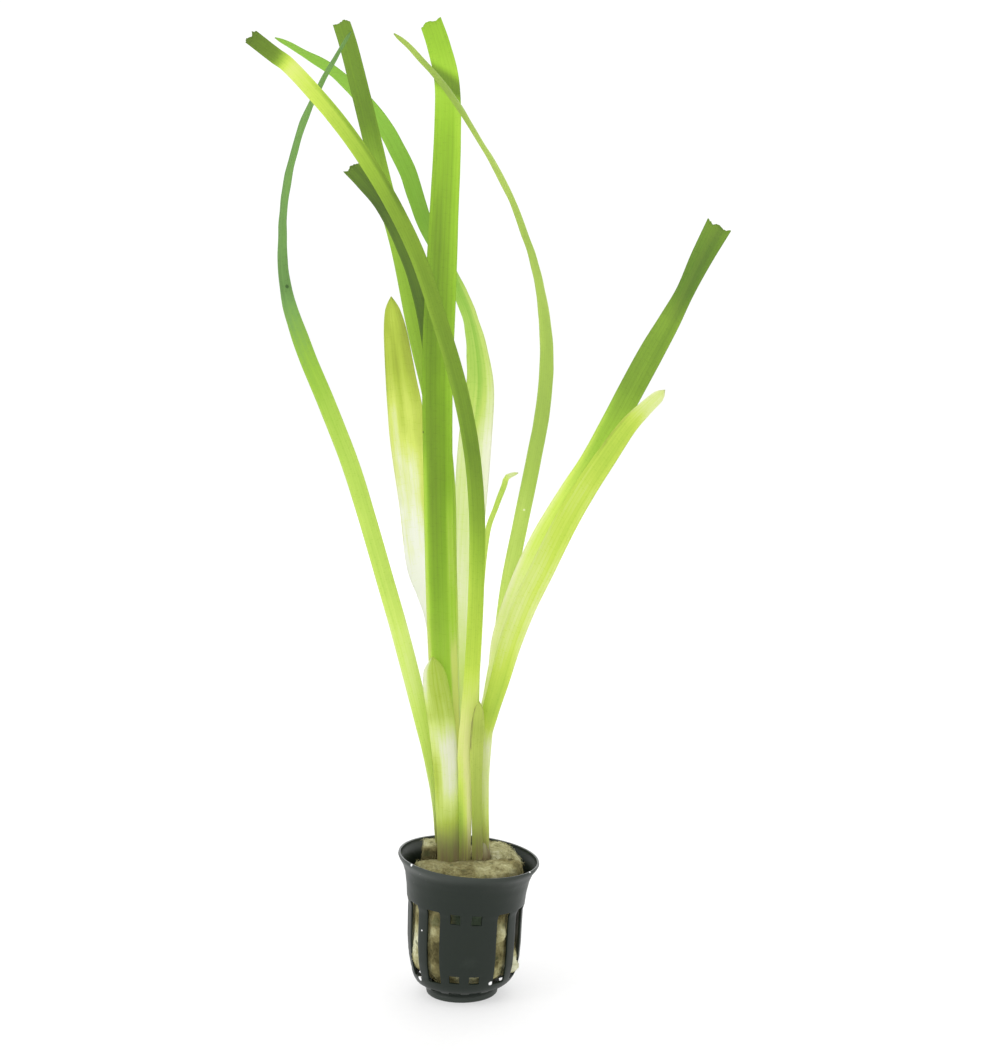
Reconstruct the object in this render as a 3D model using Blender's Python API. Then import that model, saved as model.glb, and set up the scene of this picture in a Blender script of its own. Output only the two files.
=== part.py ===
# Potted vallisneria: a slotted net pot, three chunks of growing wool, two crowns
# and thirteen ribbon leaves.
# Lengths below are millimetres. The origin is the middle of the foot, on the ground,
# with +X to the right, +Y away from the front and +Z up.
import math

import bmesh
import bpy
from mathutils import Matrix, Vector

MILLIMETRE = 0.001

# Pot
POT_HEIGHT = 50.3
RIM_RADIUS = 25.1
FOOT_RADIUS = 12.8
FOOT_HEIGHT = 3.2
WALL = 0.9                      # also the thickness of the floor
POT_SEGMENTS = 42
LEAN = math.radians(5.2)        # the wall bends to the right until the rim tilts this much
SET_OFF = 0.6                   # and the whole body sits this far to the right of its foot
SET_OFF_HEIGHT = 6.0            # reached this far above the foot
SLUMP = math.tan(math.radians(2.0))    # slope of the body where it meets the foot, none at the rim

# Slots of the pot, angles from the front, positive to the right
SLOT_COUNT = 14
SLOT_PITCH = 360.0 / SLOT_COUNT
FIRST_SLOT = -8.8
SLOT_WIDTH = 5.3
SLOT_BOTTOM = 8.4
SLOT_TOP = 35.0
PANEL_WINDOWS = {0: -9.5, 1: 11.6}     # the blank front panel has windows in place of these slots
WINDOW_WIDTH = 3.6
LOW_WINDOW = (9.2, 12.1)
HIGH_WINDOW = (31.4, 35.0)
FLOOR_SLOT_COUNT = 7
FIRST_FLOOR_SLOT = 8.0          # from the back, to the left
FLOOR_SLOT_WIDTH = 1.6
FLOOR_SLOT = (4.9, 9.2)         # inner and outer end, from the axis
SHOULDER_SLOT_WIDTH = 4.2
SHOULDER_SLOT = (13.4, 16.6)    # the same ends of the openings under the slots, in the turn of the wall
SHOULDER_SLOT_HEIGHTS = (2.9, 6.6)

# Growing wool
WOOL_GAP = 0.45                 # between the wool and the wall of the pot
WOOL_SEGMENTS = 26
WOOL_FRONT_FACE = -3.4          # depth of the cut between the front wedge and the rest
WOOL_SPLIT = 3.1                # x of the cut between the two chunks at the back
CHUNK_GAP = 0.4
SOCKET_GAP = 0.4                # between a crown and the wool that holds it

# Crowns
CROWN_TOP = 55.6
LEAF_FOOT = 55.9                # height of the leaves' lowest section
LEFT_CROWN = {"centre": (-3.2, -0.3), "radii": (6.2, 5.7)}
RIGHT_CROWN = {"centre": (6.9, -0.5), "radii": (3.5, 4.5)}
CROWN_PROFILE = ((36.0, 0.35), (38.0, 0.7), (42.0, 0.88), (48.0, 1.0), (53.0, 1.0), (CROWN_TOP, 0.93))
CROWN_SEGMENTS = 18
SOCKET_REACH = 6.0              # of a socket above the crown's top

# Leaves
BLADE = 0.7                     # thickness at the middle of a blade
RING_PITCH = 13.0               # between two sections of a blade
FEWEST_RINGS = 9
TIP_RINGS = (0.45, 0.8)         # extra sections, as shares of the last stretch
SECTION = (-1.0, -0.55, 0.0, 0.55, 1.0)

# Leaf routes are read as they look from this point, in front of the pot
EYE = Vector((11.5, -848.0, 317.0))


def sight(x, z, depth):
    """Point at this depth that looks, from the eye, as if it were at (x, z) over the foot."""
    start = Vector((x, 0.0, z))
    return EYE + (start - EYE) * ((depth - EYE.y) / -EYE.y)


def clear_scene():
    for item in list(bpy.data.objects):
        bpy.data.objects.remove(item, do_unlink=True)


def material(name, colour, roughness):
    made = bpy.data.materials.new(name)
    made.use_nodes = True
    shader = made.node_tree.nodes["Principled BSDF"]
    shader.inputs["Base Color"].default_value = (*colour, 1.0)
    shader.inputs["Roughness"].default_value = roughness
    shader.inputs["Metallic"].default_value = 0.0
    return made


def finish(name, work, look):
    """Turn a bmesh in millimetres into a named object in metres."""
    bmesh.ops.recalc_face_normals(work, faces=work.faces)
    bmesh.ops.scale(work, vec=(MILLIMETRE,) * 3, verts=work.verts)
    mesh = bpy.data.meshes.new(name)
    work.to_mesh(mesh)
    work.free()
    mesh.shade_smooth()
    mesh.set_sharp_from_angle(angle=math.radians(40.0))
    mesh.materials.append(look)
    made = bpy.data.objects.new(name, mesh)
    bpy.context.collection.objects.link(made)
    return made


def cutter(name, work):
    made = finish(name, work, bpy.data.materials.new(name))
    made.hide_render = True
    made.display_type = "WIRE"
    return made


def cut(target, tool):
    step = target.modifiers.new(tool.name, "BOOLEAN")
    step.operation = "DIFFERENCE"
    step.object = tool


def lean(verts):
    """Bend about the foot: upright at the ground, tilted by LEAN at the rim."""
    radius = POT_HEIGHT / LEAN
    for vert in verts:
        height = max(vert.co.z - FOOT_HEIGHT, 0.0)
        angle = height / radius
        reach = radius - vert.co.x
        if height > 0.0:
            rise = min(1.0, height / SET_OFF_HEIGHT)
            sink = vert.co.x * SLUMP * rise * (1.0 - height / POT_HEIGHT)
            vert.co.x = radius - reach * math.cos(angle) + SET_OFF * rise
            vert.co.z = FOOT_HEIGHT + reach * math.sin(angle) - sink


def lathe(work, profile, segments):
    """Turn a closed outline of (radius, height) once about the axis."""
    corners = [work.verts.new((radius, 0.0, height)) for radius, height in profile]
    ends = corners[1:] + corners[:1]
    edges = [work.edges.new(pair) for pair in zip(corners, ends)]
    bmesh.ops.spin(work, geom=corners + edges, cent=(0, 0, 0), axis=(0, 0, 1),
                   angle=math.tau, steps=segments, use_merge=True)
    bmesh.ops.remove_doubles(work, verts=work.verts, dist=0.001)


POT_OUTSIDE = (
    (0.0, 0.0), (12.3, 0.0), (FOOT_RADIUS, 0.6), (FOOT_RADIUS, 1.6), (11.7, FOOT_HEIGHT), (14.9, 3.9),
    (16.9, 5.3), (18.2, 7.6), (19.2, 10.8), (19.9, 14.5), (20.3, 20.0), (20.5, 33.0), (21.0, 34.6),
    (21.4, 39.0), (22.2, 43.6), (23.3, 46.6), (24.6, 48.5), (RIM_RADIUS, 49.5),
)
POT_INSIDE = (
    (24.9, POT_HEIGHT), (24.2, POT_HEIGHT), (22.6, 47.4), (21.3, 43.9), (20.4, 39.0),
    (19.7, 33.0), (19.4, 20.0), (18.9, 14.5), (18.2, 10.9), (17.2, 8.1), (16.0, 6.2),
    (14.2, 4.9), (11.2, 4.2), (10.7, FOOT_HEIGHT), (11.6, 1.9), (11.4, WALL), (0.0, WALL),
)


def box(work, size, place, angle):
    """A block of this size whose middle is at place, turned about the pot's axis."""
    turn = Matrix.Rotation(math.radians(angle), 4, "Z")
    shift = Matrix.Translation(place)
    spread = Matrix.Diagonal((*size, 1.0))
    bmesh.ops.create_cube(work, size=1.0, matrix=turn @ shift @ spread)


def slot_block(work, angle, width, bottom, top):
    reach = (16.0, 26.0) if bottom > SLOT_BOTTOM + 4.0 else (12.5, 26.0)
    size = (width, reach[1] - reach[0], top - bottom)
    middle = (0.0, -(reach[0] + reach[1]) / 2.0, (top + bottom) / 2.0)
    box(work, size, middle, angle)


def shoulder_block(work, angle):
    inner, outer = SHOULDER_SLOT
    bottom, top = SHOULDER_SLOT_HEIGHTS
    size = (SHOULDER_SLOT_WIDTH, outer - inner, top - bottom)
    box(work, size, (0.0, -(inner + outer) / 2.0, (bottom + top) / 2.0), angle)


def net_pot():
    work = bmesh.new()
    lathe(work, POT_OUTSIDE + POT_INSIDE, POT_SEGMENTS)
    lean(work.verts)
    pot = finish("net_pot", work, material("pot_plastic", (0.035, 0.05, 0.045), 0.45))
    slots = bmesh.new()
    for number in range(SLOT_COUNT):
        angle = FIRST_SLOT + SLOT_PITCH * number
        if number in PANEL_WINDOWS:
            slot_block(slots, PANEL_WINDOWS[number], WINDOW_WIDTH, *LOW_WINDOW)
            slot_block(slots, PANEL_WINDOWS[number], WINDOW_WIDTH, *HIGH_WINDOW)
        else:
            slot_block(slots, angle, SLOT_WIDTH, SLOT_BOTTOM, SLOT_TOP)
        shoulder_block(slots, angle)
    for number in range(FLOOR_SLOT_COUNT):
        length = FLOOR_SLOT[1] - FLOOR_SLOT[0]
        middle = (0.0, FLOOR_SLOT[0] + length / 2.0, WALL / 2.0)
        angle = FIRST_FLOOR_SLOT + 360.0 * number / FLOOR_SLOT_COUNT
        box(slots, (FLOOR_SLOT_WIDTH, length, WALL * 3.0), middle, angle)
    lean(slots.verts)
    cut(pot, cutter("slot_cutter", slots))


def extruded_rings(work, rings):
    """Extrude the first ring of points through all the others, with both ends closed."""
    bmesh.ops.create_circle(work, cap_ends=True, segments=len(rings[0]), radius=1.0)
    cap = work.faces[:][0]
    ring = list(cap.verts)
    for number, places in enumerate(rings):
        if number > 0:
            grown = bmesh.ops.extrude_face_region(work, geom=[cap])["geom"]
            fresh = {tuple(item.co): item for item in grown if isinstance(item, bmesh.types.BMVert)}
            ring = [fresh[tuple(vert.co)] for vert in ring]
            if number > 1:
                bmesh.ops.delete(work, geom=[cap], context="FACES_ONLY")
            cap = next(item for item in grown if isinstance(item, bmesh.types.BMFace))
        for vert, place in zip(ring, places):
            vert.co = place


def crown_solid(centre, radii, grow):
    """A stub of elliptical sections, grown on every side by grow to make its socket."""
    rings = []
    for height, share in CROWN_PROFILE:
        level = height
        if grow and height == CROWN_PROFILE[0][0]:
            level -= grow
        elif grow and height == CROWN_TOP:
            level += SOCKET_REACH
        ring = []
        for step in range(CROWN_SEGMENTS):
            angle = math.tau * step / CROWN_SEGMENTS
            ring.append(Vector((centre[0] + (radii[0] * share + grow) * math.cos(angle),
                                centre[1] + (radii[1] * share + grow) * math.sin(angle), level)))
        rings.append(ring)
    work = bmesh.new()
    extruded_rings(work, rings)
    return work


def crown(name, plan, look):
    finish(name, crown_solid(plan["centre"], plan["radii"], 0.0), look)


WOOL_PROFILE = (
    (0.0, 48.4), (8.0, 48.6), (14.0, 48.6), (18.6, 47.6), (19.9, 45.6), (19.7, 41.0),
    (19.1, 33.0), (18.8, 20.0), (18.3, 14.5), (17.2, 10.8), (15.3, 8.4), (12.6, 6.4),
    (10.0, 4.4), (9.2, WALL + WOOL_GAP), (0.0, WALL + WOOL_GAP),
)


def wool_plug(lift):
    """The whole plug of wool; lift(x, y) raises its top."""
    work = bmesh.new()
    corners = [work.verts.new((radius, 0.0, height)) for radius, height in WOOL_PROFILE]
    edges = [work.edges.new(pair) for pair in zip(corners[:-1], corners[1:])]
    bmesh.ops.spin(work, geom=corners + edges, cent=(0, 0, 0), axis=(0, 0, 1),
                   angle=math.tau, steps=WOOL_SEGMENTS, use_merge=True)
    bmesh.ops.remove_doubles(work, verts=work.verts, dist=0.001)
    bmesh.ops.recalc_face_normals(work, faces=work.faces)
    for vert in work.verts:
        if vert.co.z > 44.0:
            vert.co.z += lift(vert.co.x, vert.co.y) * min(1.0, (vert.co.z - 44.0) / 3.0)
    lean(work.verts)
    return work


def keep_side(work, place, away):
    """Cut by a plane and keep the part that the vector away leaves behind."""
    everything = work.verts[:] + work.edges[:] + work.faces[:]
    cut_line = bmesh.ops.bisect_plane(work, geom=everything, plane_co=place, plane_no=away,
                                      clear_outer=True)["geom_cut"]
    edges = [item for item in cut_line if isinstance(item, bmesh.types.BMEdge)]
    bmesh.ops.holes_fill(work, edges=edges, sides=0)


def wool():
    look = material("growing_wool", (0.5, 0.44, 0.22), 0.95)
    back = WOOL_FRONT_FACE + CHUNK_GAP
    front = wool_plug(lambda x, y: 1.2 + 0.04 * y - 0.02 * x)
    keep_side(front, (0, WOOL_FRONT_FACE, 0), (0, 1, 0))
    left = wool_plug(lambda x, y: 3.4 * math.exp(-((x + 11.0) / 8.0) ** 2) + 0.6)
    keep_side(left, (0, back, 0), (0, -1, 0))
    keep_side(left, (WOOL_SPLIT, 0, 0), (1, 0, 0))
    right = wool_plug(lambda x, y: 2.6 * math.exp(-((x - 12.0) / 7.0) ** 2) + 0.2)
    keep_side(right, (0, back, 0), (0, -1, 0))
    keep_side(right, (WOOL_SPLIT + CHUNK_GAP, 0, 0), (-1, 0, 0))
    chunks = {"rock_wool_front": front, "rock_wool_back_left": left, "rock_wool_back_right": right}
    sockets = [cutter("socket_left", crown_solid(LEFT_CROWN["centre"], LEFT_CROWN["radii"], SOCKET_GAP)),
               cutter("socket_right", crown_solid(RIGHT_CROWN["centre"], RIGHT_CROWN["radii"], SOCKET_GAP))]
    for name, work in chunks.items():
        chunk = finish(name, work, look)
        for socket in sockets:
            cut(chunk, socket)


def smooth_point(before, start, end, after, share):
    """Catmull-Rom value between start and end."""
    square = share * share
    cube = square * share
    return 0.5 * (2.0 * start + (end - before) * share
                  + (2.0 * before - 5.0 * start + 4.0 * end - after) * square
                  + (3.0 * start - before - 3.0 * end + after) * cube)


def along(stations, position):
    """Place, width and turn at a position from 0 to 1 along a route of stations."""
    last = len(stations) - 1
    place = min(position * last, last - 1e-9)
    number = int(place)
    share = place - number
    picked = [stations[min(max(number + step, 0), last)] for step in (-1, 0, 1, 2)]
    middle = smooth_point(*[item[0] for item in picked], share)
    width = smooth_point(*[item[1] for item in picked], share)
    turn = picked[1][2] * (1.0 - share) + picked[2][2] * share
    return middle, max(width, 0.6), turn


def leaf(name, route, look, cup=0.5, ragged=()):
    """A ribbon of lens-shaped sections.

    A station of the route is (x, z, depth, width, turn): where the middle of the blade
    looks to be, how far back it is, how wide the blade is, and by how many degrees its
    right edge comes forward. The middle of the blade bulges forward by cup times a
    seventh of the width. A ragged end moves the last section's points along the blade.
    """
    stations = [(sight(x, z, depth), width, math.radians(turn)) for x, z, depth, width, turn in route]
    foot = stations[0][0]
    if foot.z < LEAF_FOOT + 3.0:
        stations[0] = (Vector((foot.x, foot.y, LEAF_FOOT)), *stations[0][1:])
    fine = [along(stations, step / 400.0)[0] for step in range(401)]
    length = sum((end - start).length for start, end in zip(fine, fine[1:]))
    rings = max(FEWEST_RINGS, round(length / RING_PITCH))
    positions = even_positions(fine, rings)
    if not ragged:
        start, end = positions[-2:]
        positions[-1:-1] = [start + (end - start) * share for share in TIP_RINGS]
    outlines = []
    for count, position in enumerate(positions):
        middle, width, turn = along(stations, position)
        ahead = along(stations, min(position + 0.002, 1.0))[0]
        behind = along(stations, max(position - 0.002, 0.0))[0]
        run = (ahead - behind).normalized()
        if count == 0:
            run = Vector((0.0, 0.0, 1.0))
        towards = (EYE - middle).normalized()
        front = (towards - run * towards.dot(run)).normalized()
        side = run.cross(front)
        right = side * math.cos(turn) + front * math.sin(turn)
        face = front * math.cos(turn) - side * math.sin(turn)
        corners = section_points(width, cup)
        shifts = ragged if ragged and count == len(positions) - 1 else (0.0,) * len(corners)
        outlines.append([middle + right * across + face * out + run * shift
                         for (across, out), shift in zip(corners, shifts)])
    work = bmesh.new()
    extruded_rings(work, outlines)
    finish(name, work, look)


def even_positions(fine, rings):
    """Positions from 0 to 1 that space the rings evenly along the fine points."""
    lengths = [0.0]
    for start, end in zip(fine, fine[1:]):
        lengths.append(lengths[-1] + (end - start).length)
    places = []
    number = 0
    for ring in range(rings + 1):
        wanted = lengths[-1] * ring / rings
        while number < len(fine) - 2 and lengths[number + 1] < wanted:
            number += 1
        step = lengths[number + 1] - lengths[number]
        share = (wanted - lengths[number]) / step if step > 0.0 else 0.0
        places.append((number + share) / (len(fine) - 1))
    return places


def section_points(width, cup):
    """Eight points round a blade: the left edge, the front, the right edge, the back."""
    bulge = cup * width / 7.0
    blade = min(BLADE, width * 0.4)
    front = []
    back = []
    for share in SECTION:
        across = share * width / 2.0
        lift = bulge * (1.0 - share * share)
        half = blade / 2.0 * math.sqrt(1.0 - share * share)
        front.append((across, lift + half))
        back.append((across, lift - half))
    return front + back[-2:0:-1]


# Left plant, front to back. Stations: (x, z, depth, width, turn)
LEFT_LEAVES = {
    "leaf_sheath_front": (1.6, (
        (-4.9, 57, -5.6, 7.4, 0), (-5.5, 75, -5.9, 7.8, 0), (-6.4, 90, -6.2, 8.3, 0),
        (-7.6, 102, -6.3, 8.8, 0), (-8.8, 111, -6.2, 9.0, 0), (-9.4, 117, -6.0, 7.6, 0),
        (-9.7, 120.6, -5.9, 4.8, 0), (-9.9, 122.6, -5.8, 1.6, 0),
    )),
    "leaf_front_arching": (0.8, (
        (1.2, 57, -5.0, 4.0, -12), (1.8, 90, -7.1, 5.0, -8), (4.0, 120, -9.5, 5.4, -4),
        (5.4, 150, -11.9, 5.4, 0), (5.6, 173, -14.0, 5.4, 0), (3.7, 196, -16.1, 5.4, 0),
        (-0.6, 218, -18.2, 5.4, 4), (-7.0, 240, -20.3, 5.3, 8), (-14.2, 261.5, -22.4, 5.3, 8),
        (-22.5, 279, -24.5, 5.2, 5), (-32.0, 295, -26.6, 5.2, 0), (-43.0, 310, -28.7, 5.2, -5),
        (-56.5, 325, -30.8, 5.2, -10), (-70.0, 335.5, -32.3, 5.2, -12),
    )),
    "leaf_main_upright": (0.7, (
        (-3.4, 57, -3.1, 7.2, 0), (-3.9, 75, -3.0, 7.8, 0), (-5.0, 95, -2.8, 8.8, 0),
        (-6.3, 120, -2.5, 10.0, 0), (-7.2, 150, -2.2, 10.2, 0), (-7.8, 185, -2.0, 10.0, 0),
        (-7.9, 220, -1.8, 10.5, 0), (-7.0, 245, -1.8, 10.7, 5), (-5.5, 275, -2.0, 10.0, 10),
        (-4.2, 302, -2.4, 9.2, 10), (-4.3, 320, -2.8, 8.4, 8), (-6.9, 332, -3.0, 7.8, 5),
        (-9.6, 340, -3.2, 7.4, 5),
    )),
    "leaf_trimmed_left": (0.5, (
        (-4.4, 57, -1.3, 4.2, 0), (-4.8, 80, -1.1, 4.4, 0), (-6.2, 120, -0.2, 4.8, 0),
        (-7.4, 160, 0.4, 5.0, 0), (-8.4, 200, 0.9, 5.0, 0), (-10.4, 230, 1.3, 5.0, 0),
        (-14.6, 252, -0.6, 5.0, 10), (-20.0, 267, -4.8, 5.0, 15), (-26.4, 279.5, -9.2, 5.2, 15),
        (-32.4, 287, -12.2, 5.4, 10), (-36.8, 292.0, -14.1, 5.8, 8),
    )),
    "leaf_upright_left": (0.5, (
        (-3.0, 57, 0.1, 5.6, 0), (-3.0, 80, 0.8, 5.8, 0), (-3.1, 120, 2.6, 6.2, 0),
        (-3.5, 155, 4.4, 6.4, 0), (-4.6, 185, 5.9, 6.4, 0), (-8.2, 211, 7.8, 6.4, 0),
        (-15.0, 237, 9.6, 6.4, 0), (-20.2, 264, 11.3, 6.4, 5), (-25.8, 285, 12.8, 6.4, 8),
        (-31.0, 307, 14.7, 6.3, 5), (-36.6, 330, 16.5, 6.2, 0), (-39.6, 340, 17.4, 6.0, 0),
    )),
    "leaf_back_arching": (-0.5, (
        (0.0, 57, 1.8, 4.6, 0), (0.2, 80, 3.0, 5.0, 0), (0.4, 115, 5.7, 6.4, 0),
        (1.2, 145, 8.7, 8.6, 0), (3.0, 172, 11.7, 11.0, 0), (4.8, 197, 14.7, 11.8, 8),
        (6.6, 220, 17.7, 10.8, 30), (3.6, 240, 20.4, 9.2, 55), (-3.0, 256, 22.8, 8.2, 58),
        (-11.8, 273, 24.9, 7.4, 45), (-18.4, 292, 27.0, 6.9, 30), (-27.6, 308.5, 29.1, 6.4, 30),
        (-40.6, 322.5, 31.2, 5.4, 45), (-55.0, 331.5, 33.0, 4.2, 55), (-62.0, 335.0, 33.9, 1.6, 55),
    )),
    "leaf_pale_short": (-0.7, (
        (-4.2, 57, 3.4, 5.4, 0), (-4.6, 80, 5.2, 6.0, 0), (-5.8, 110, 8.8, 7.0, 0),
        (-8.6, 135, 12.4, 7.6, 0), (-12.6, 155, 15.4, 8.4, 0), (-16.2, 177, 18.4, 9.4, 0),
        (-18.8, 198, 21.1, 10.0, 0), (-20.6, 220, 23.8, 10.0, 0), (-22.2, 236, 25.6, 8.2, 0),
        (-23.2, 244, 26.5, 5.2, 0), (-23.6, 248.5, 26.8, 1.6, 0),
    )),
    "leaf_left_slender": (0.6, (
        (-8.1, 57, 0.9, 3.8, -50), (-9.0, 72, 0.9, 4.6, -40), (-11.6, 90, 0.9, 5.6, -25),
        (-16.3, 111, 0.8, 6.0, -10), (-21.5, 132, 0.4, 6.1, 0), (-26.7, 151, 0.2, 6.1, 0),
        (-32.5, 172, -0.5, 6.1, 0), (-38.2, 191, -1.9, 6.1, 0), (-45.7, 211, -4.0, 6.0, 0),
        (-54.0, 232, -6.8, 5.8, 10), (-59.5, 251, -9.8, 5.4, 42), (-60.4, 270, -12.7, 5.0, 57),
        (-58.2, 288, -15.7, 4.6, 60), (-53.5, 305, -18.8, 4.0, 62), (-47.8, 317.5, -21.2, 3.4, 62),
        (-41.0, 329.5, -23.6, 2.8, 60), (-36.4, 337.0, -25.0, 1.2, 60),
    )),
}

# Right plant, front to back
RIGHT_LEAVES = {
    "leaf_brown_tip": (0.9, (
        (5.3, 57, -4.8, 3.6, 0), (5.1, 75, -7.4, 4.2, 0), (5.3, 88, -9.0, 4.6, 0),
        (5.8, 97, -9.9, 4.6, 0), (6.1, 103, -10.4, 3.4, 0), (6.3, 106.6, -10.7, 1.2, 0),
    )),
    "leaf_pale_right": (0.6, (
        (7.4, 57, -3.0, 4.4, 0), (7.3, 75, -3.3, 4.8, 0), (7.8, 90, -3.9, 5.0, 0),
        (10.0, 102, -5.1, 5.8, 0), (13.6, 114.5, -6.9, 6.8, 0), (17.0, 127, -8.7, 7.8, 0),
        (22.0, 140.5, -10.8, 8.3, 0), (28.2, 153.5, -12.9, 8.4, 0), (36.0, 169.6, -15.6, 8.2, 0),
        (43.0, 182.0, -17.7, 7.8, 0), (50.4, 193.4, -19.8, 7.2, 0), (57.6, 203.8, -21.6, 6.0, 0),
        (63.7, 210.2, -23.1, 4.9, 0), (68.0, 214.2, -24.0, 4.0, 0), (70.2, 216.4, -24.5, 1.6, 0),
    )),
    "leaf_trimmed_right": (0.5, (
        (7.0, 57, -1.5, 5.0, 0), (7.0, 80, -1.5, 5.2, 0), (8.8, 100, -1.7, 5.4, 0),
        (12.2, 115, -2.0, 6.2, 0), (14.6, 130, -2.6, 7.2, 0), (20.6, 148, -3.4, 7.6, 0),
        (28.2, 164.5, -4.7, 7.8, 0), (37.4, 180.0, -5.9, 7.6, 0), (45.0, 191.5, -7.1, 7.8, 0),
        (52.6, 205.0, -8.2, 8.4, 0), (59.4, 218.0, -9.4, 8.6, 0), (65.8, 230.0, -10.6, 8.4, 0),
        (71.4, 240.0, -11.9, 7.4, 0), (76.6, 250.0, -13.0, 6.2, 0), (81.8, 261.0, -14.2, 7.4, 0),
        (87.8, 272.4, -15.5, 8.8, 0),
    )),
    "leaf_right_arching": (0.6, (
        (7.4, 57, 0.1, 4.8, 0), (7.7, 80, 0.8, 5.0, 0), (10.1, 105, 2.0, 5.0, 0),
        (13.7, 128, 3.3, 5.2, 0), (16.6, 149, 3.9, 5.3, 0), (20.7, 170, 3.9, 5.3, 0),
        (24.7, 190, 2.9, 5.3, -10), (28.3, 210, 1.2, 5.3, -20), (29.5, 230, -1.6, 5.2, -30),
        (27.4, 250, -5.2, 4.8, -48), (22.6, 268, -8.8, 4.4, -58), (15.2, 286, -12.0, 4.0, -63),
        (5.4, 303, -15.0, 3.8, -63), (-4.0, 317.5, -17.4, 3.6, -60), (-15.8, 331, -19.8, 3.2, -57),
        (-22.0, 336.5, -20.9, 1.4, -55),
    )),
    "leaf_small_curled": (0.5, (
        (5.6, 57, 2.0, 1.8, 0), (5.6, 85, 2.6, 1.9, 0), (6.2, 115, 2.6, 2.0, 0),
        (7.2, 145, 0.6, 2.0, 0), (9.4, 166, -1.6, 1.9, 0), (12.4, 176, -2.6, 1.8, 0),
        (14.7, 182.6, -3.4, 1.9, 0), (15.9, 185.6, -4.2, 1.9, 0), (17.6, 186.9, -5.2, 1.7, 10),
        (19.8, 187.6, -6.6, 1.2, 20),
    )),
}

# How far each point of a cut end lies along the blade: left edge, front, right edge, back
RAGGED_ENDS = {
    "leaf_front_arching": (0.2, 0.8, -0.3, 0.5, -0.4, 0.4, -0.4, 0.7),
    "leaf_main_upright": (-0.8, 0.4, 0.7, 0.0, 0.9, 0.1, 0.6, 0.3),
    "leaf_trimmed_left": (0.6, -0.3, 0.6, 0.2, -0.6, 0.1, 0.6, -0.3),
    "leaf_upright_left": (0.4, -0.3, 0.4, 0.7, -0.5, 0.6, 0.3, -0.2),
    "leaf_trimmed_right": (0.7, -0.4, 0.6, -0.3, 0.5, -0.3, 0.6, -0.5),
}

LEAF_COLOURS = {
    "leaf_sheath_front": (0.52, 0.68, 0.22),
    "leaf_pale_short": (0.62, 0.72, 0.25),
    "leaf_pale_right": (0.55, 0.72, 0.2),
    "leaf_trimmed_left": (0.13, 0.26, 0.03),
    "leaf_trimmed_right": (0.3, 0.5, 0.08),
    "leaf_brown_tip": (0.42, 0.5, 0.12),
}
LEAF_GREEN = (0.36, 0.55, 0.08)


def leaves():
    for name, (cup, route) in (LEFT_LEAVES | RIGHT_LEAVES).items():
        look = material(name + "_green", LEAF_COLOURS.get(name, LEAF_GREEN), 0.45)
        leaf(name, route, look, cup, RAGGED_ENDS.get(name, ()))


clear_scene()
net_pot()
wool()
crown_green = material("crown_green", (0.5, 0.55, 0.25), 0.6)
crown("left_crown", LEFT_CROWN, crown_green)
crown("right_crown", RIGHT_CROWN, crown_green)
leaves()
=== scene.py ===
import math
import random
from functools import partialmethod

import bmesh
import bpy
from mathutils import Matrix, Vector, noise


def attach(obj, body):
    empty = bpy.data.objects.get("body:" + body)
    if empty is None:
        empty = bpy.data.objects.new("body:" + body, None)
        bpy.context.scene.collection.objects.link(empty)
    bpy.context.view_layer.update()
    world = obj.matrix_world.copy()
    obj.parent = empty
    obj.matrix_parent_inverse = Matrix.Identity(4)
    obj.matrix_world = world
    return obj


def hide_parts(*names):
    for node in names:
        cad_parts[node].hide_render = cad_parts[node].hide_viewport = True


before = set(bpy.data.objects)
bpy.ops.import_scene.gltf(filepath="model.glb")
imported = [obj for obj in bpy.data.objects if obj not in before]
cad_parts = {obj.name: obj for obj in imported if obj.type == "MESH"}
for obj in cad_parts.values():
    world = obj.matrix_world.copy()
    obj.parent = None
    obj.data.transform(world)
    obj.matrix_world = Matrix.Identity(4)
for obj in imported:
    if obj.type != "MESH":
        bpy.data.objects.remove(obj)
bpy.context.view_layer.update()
print("frame loaded:", len(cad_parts), "nodes")

mm = 0.001
white = (1.0, 1.0, 1.0, 1.0)

# The point that the leaf routes are read from, also the place of the camera
eye = Vector((11.5, -848.0, 317.0))


def assign(made, **settings):
    for key, value in settings.items():
        setattr(made, key, value)
    return made


def clipped(value):
    return min(1.0, max(0.0, value))


# Shader tools

class Wire:
    # an output socket that takes part in sums: each operator adds a Math node
    def __init__(self, look, socket):
        self.look = look
        self.socket = socket

    def maths(self, operation, *others):
        return self.look.node("Math", dict(enumerate((self, *others))), operation=operation)

    def other(self, name):
        return Wire(self.look, self.socket.node.outputs[name])

    __add__ = partialmethod(maths, "ADD")
    __sub__ = partialmethod(maths, "SUBTRACT")
    __rsub__ = partialmethod(maths, "MULTIPLY_ADD", -1.0)
    __mul__ = partialmethod(maths, "MULTIPLY")
    __truediv__ = partialmethod(maths, "DIVIDE")
    __pow__ = partialmethod(maths, "POWER")


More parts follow.
